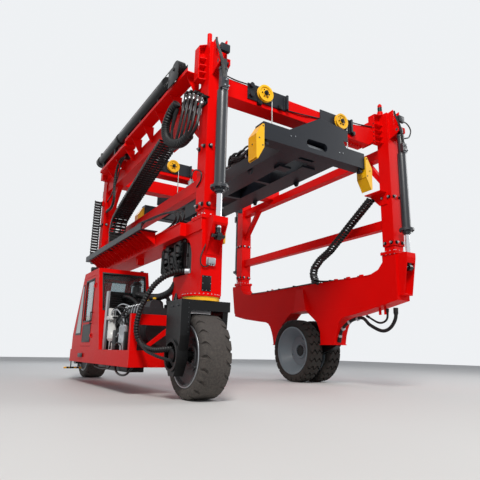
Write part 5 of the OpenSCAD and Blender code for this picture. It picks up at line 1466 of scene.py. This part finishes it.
# %% Hubs of the sheaves and of the twin wheel
hub_bars = []
for x in SHEAVE_X:
    for y in SHEAVE_Y:
        for reach, radius, sides in ((0.052, 0.046, 24), (0.066, 0.022, 12)):
            hub_bars.append(((x, y - reach, SHEAVE_Z), (x, y + reach, SHEAVE_Z), radius, sides))
        for dx, dz in circle(6, 0.076):
            z = SHEAVE_Z + dz
            hub_bars.append(((x + dx, y - 0.030, z), (x + dx, y + 0.030, z), 0.010, 8))
fitted("sheave_hubs", "lift_frame", black_paint, bars=hub_bars)
hub_bars = []
for face, out in ((2.262, -1), (2.588, 1)):
    for reach, radius, sides in ((0.012, 0.170, 48), (0.035, 0.110, 32)):
        hub_bars.append(((face, 0, TWIN_RADIUS), (face + out * reach, 0, TWIN_RADIUS), radius, sides))
    for y, dz in circle(16, 0.142):
        hub_bars.append(((face, y, TWIN_RADIUS + dz), (face + out * 0.028, y, TWIN_RADIUS + dz), 0.012, 6))
fitted("twin_hub_cores", "wheel_right", black_paint, bars=hub_bars)

# %% Corner guides: a box of plate, tapered at both ends and open inside
GUIDE_CHEEK = [(1.217, 4.50), (1.255, 4.50), (1.385, 4.28), (1.375, 3.85), (1.345, 3.83), (1.217, 4.07)]
GUIDE_WALLS = [
    [(1.219, 4.496), (1.231, 4.496), (1.231, 4.08), (1.219, 4.08)],
    [(1.257, 4.494), (1.382, 4.283), (1.372, 4.277), (1.247, 4.488)],
    [(1.383, 4.274), (1.373, 3.854), (1.361, 3.854), (1.371, 4.274)],
    [(1.348, 3.834), (1.222, 4.068), (1.232, 4.074), (1.358, 3.840)],
]
GUIDE_FACE, GUIDE_DEPTH, GUIDE_PLATE = 3.02, 0.25, 0.012
for end, side in ENDS:
    face_y = SPREADER_Y + side * GUIDE_FACE
    low_y = min(face_y, face_y - side * GUIDE_DEPTH)
    guide = bmesh.new()
    for turn in (-1, 1):
        for start in (low_y, low_y + GUIDE_DEPTH - GUIDE_PLATE):
            add_plate(guide, [(turn * x, z) for x, z in GUIDE_CHEEK], 1, start, GUIDE_PLATE)
        for wall in GUIDE_WALLS:
            add_plate(guide, [(turn * x, z) for x, z in wall], 1, low_y + GUIDE_PLATE / 2,
                      GUIDE_DEPTH - GUIDE_PLATE)
    keep(from_bmesh(end + "_guide_plates", guide, yellow_paint), "spreader_" + end,
         (end + "_guides",))

# %% Bolts of the guides and of the forks
GUIDE_BOLTS = ((1.245, 4.46), (1.32, 4.22), (1.25, 4.10))
for end, side in ENDS:
    face_y = SPREADER_Y + side * GUIDE_FACE
    places = [((s * x, face_y, z), (0, side, 0), 0.013) for s in (-1, 1) for x, z in GUIDE_BOLTS]
    places += [((s * 1.380, face_y - side * 0.12, 4.12), (s, 0, 0), 0.013) for s in (-1, 1)]
    bolts("guide_bolts_" + end, "spreader_" + end, places, barrel_paint)
    fork_y = side * COLUMN_Y - 0.26
    places = [((-2.425, fork_y, 0.95 + 0.07 * i), (0, -1, 0), 0.007) for i in range(7)]
    places += [((-2.546, fork_y + dy, 1.33), (-1, 0, 0), 0.018) for dy in (0.12, 0.30)]
    bolts("fork_bolts_" + end, "fork_" + end, places, barrel_paint)

# %% [markdown]
# The cab's side has a bonded quarter pane in front of the door, and a lamp on the roof.
# A bonded pane is a dark border of rubber with the glass standing a little proud of it.
# %% Quarter pane and roof lamp
QUARTER = [(1.105, 0.98), (1.105, 2.06), (1.215, 2.06), (1.60, 0.98)]
bm = bmesh.new()
add_plate(bm, QUARTER, 0, CAB_X[0] - 0.005, 0.006)
keep(from_bmesh("quarter_border", bm, black_plastic), "chassis")
middle_y = sum(y for y, z in QUARTER) / 4
middle_z = sum(z for y, z in QUARTER) / 4
bm = bmesh.new()
add_plate(bm, [(middle_y + (y - middle_y) * 0.80, middle_z + (z - middle_z) * 0.93) for y, z in QUARTER], 0,
          CAB_X[0] - 0.009, 0.005)
dark_pane = finish("dark_pane", rgb(58, 66, 72), 0.06, coat=0.6, dust=0.05, bump=0.0)
keep(from_bmesh("quarter_pane", bm, dark_pane), "chassis")
fitted("roof_lamp", "chassis", black_plastic, [
    ((-2.82, 1.02, 2.36), (-2.66, 1.11, 2.46), 0.012), ((-2.76, 1.05, 2.298), (-2.72, 1.08, 2.37), 0.003),
    ((-2.00, 0.12, 2.298), (-1.94, 0.18, 2.33), 0.006)])
fitted("roof_lamp_lens", "chassis", silver, [((-2.805, 1.108, 2.372), (-2.675, 1.116, 2.448), 0.004)])

# %% Lugs under the spreader and hoses in its end beams
LUG_TOP, LUG_THICK = 4.27, 0.04
bm = bmesh.new()
for y in (-1.95, -0.35, 1.25):
    lug = [(y - 0.09, LUG_TOP), (y + 0.09, LUG_TOP), (y + 0.03, LUG_TOP - 0.10), (y - 0.03, LUG_TOP - 0.10)]
    for x in (-0.61, 0.57):
        add_plate(bm, lug, 0, x, LUG_THICK)
add_box(bm, (-0.30, -2.55, 4.215), (-0.02, -2.35, 4.268), 0.006)
add_box(bm, (0.10, -2.75, 4.225), (0.42, -2.60, 4.268), 0.006)
keep(from_bmesh("spreader_lugs", bm, grey_paint), "spreader")
for end, side in ENDS:
    y = SPREADER_Y + side * 2.90
    inner_hoses = [([(-1.10, y, 4.36), (-0.60, y - side * 0.03, 4.40 + 0.02 * i),
                     (0.0, y - side * 0.01 * i, 4.385 + 0.03 * i), (0.60, y - side * 0.03, 4.37 + 0.02 * i),
                     (1.10, y, 4.38)], 0.014) for i in range(3)]
    inner = hose_piece("beam_hoses_" + end, inner_hoses, silver if side < 0 else black_plastic)
    keep(inner, "spreader_" + end)

# %% [markdown]
# The lift barrels carry a thicker jacket with a wide foot flange, and a cable runs from a
# plug on the near lower tie to the column.
# %% Barrel jackets, and the plug with its cable
# foot, head and radius of each stretch
JACKET = ((3.165, 3.205, 0.150), (3.20, 4.86, 0.092), (3.205, 3.23, 0.112), (3.11, 3.166, 0.086))
jackets = []
for x, y in COLUMNS:
    y += math.copysign(BARREL_OUT, y)
    jackets += [((x, y, z0), (x, y, z1), r, 40) for z0, z1, r in JACKET]
    for dx, dy in circle(8, 0.130, 0.4):
        jackets.append(((x + dx, y + dy, 3.145), (x + dx, y + dy, 3.225), 0.012, 6))
fitted("barrel_jackets", "lift_frame", barrel_paint, bars=jackets)
fitted("tie_plug", "lift_frame", silver, [((-2.11, -2.36, 3.495), (-1.99, -2.22, 3.515), 0.003)],
       [((-2.05, -2.29, 3.51), (-2.05, -2.29, 3.60), 0.050, 24),
        ((-2.05, -2.29, 3.60), (-2.05, -2.29, 3.64), 0.030, 16)])
TIE_CABLE = [(-2.05, -2.29, 3.63), (-2.09, -2.40, 3.68), (-2.18, -2.62, 3.64), (-2.225, -2.82, 3.60),
             (-2.215, -2.99, 3.51), (-2.21, -2.99, 3.38), (-2.205, -2.86, 3.31), (-2.19, -2.82, 3.31)]
hose_set("tie_cable", "lift_frame", [(TIE_CABLE, 0.011)])

# %% [markdown]
# The last step measures the box round the finished machine.
# %% Sizes and the end
low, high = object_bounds()
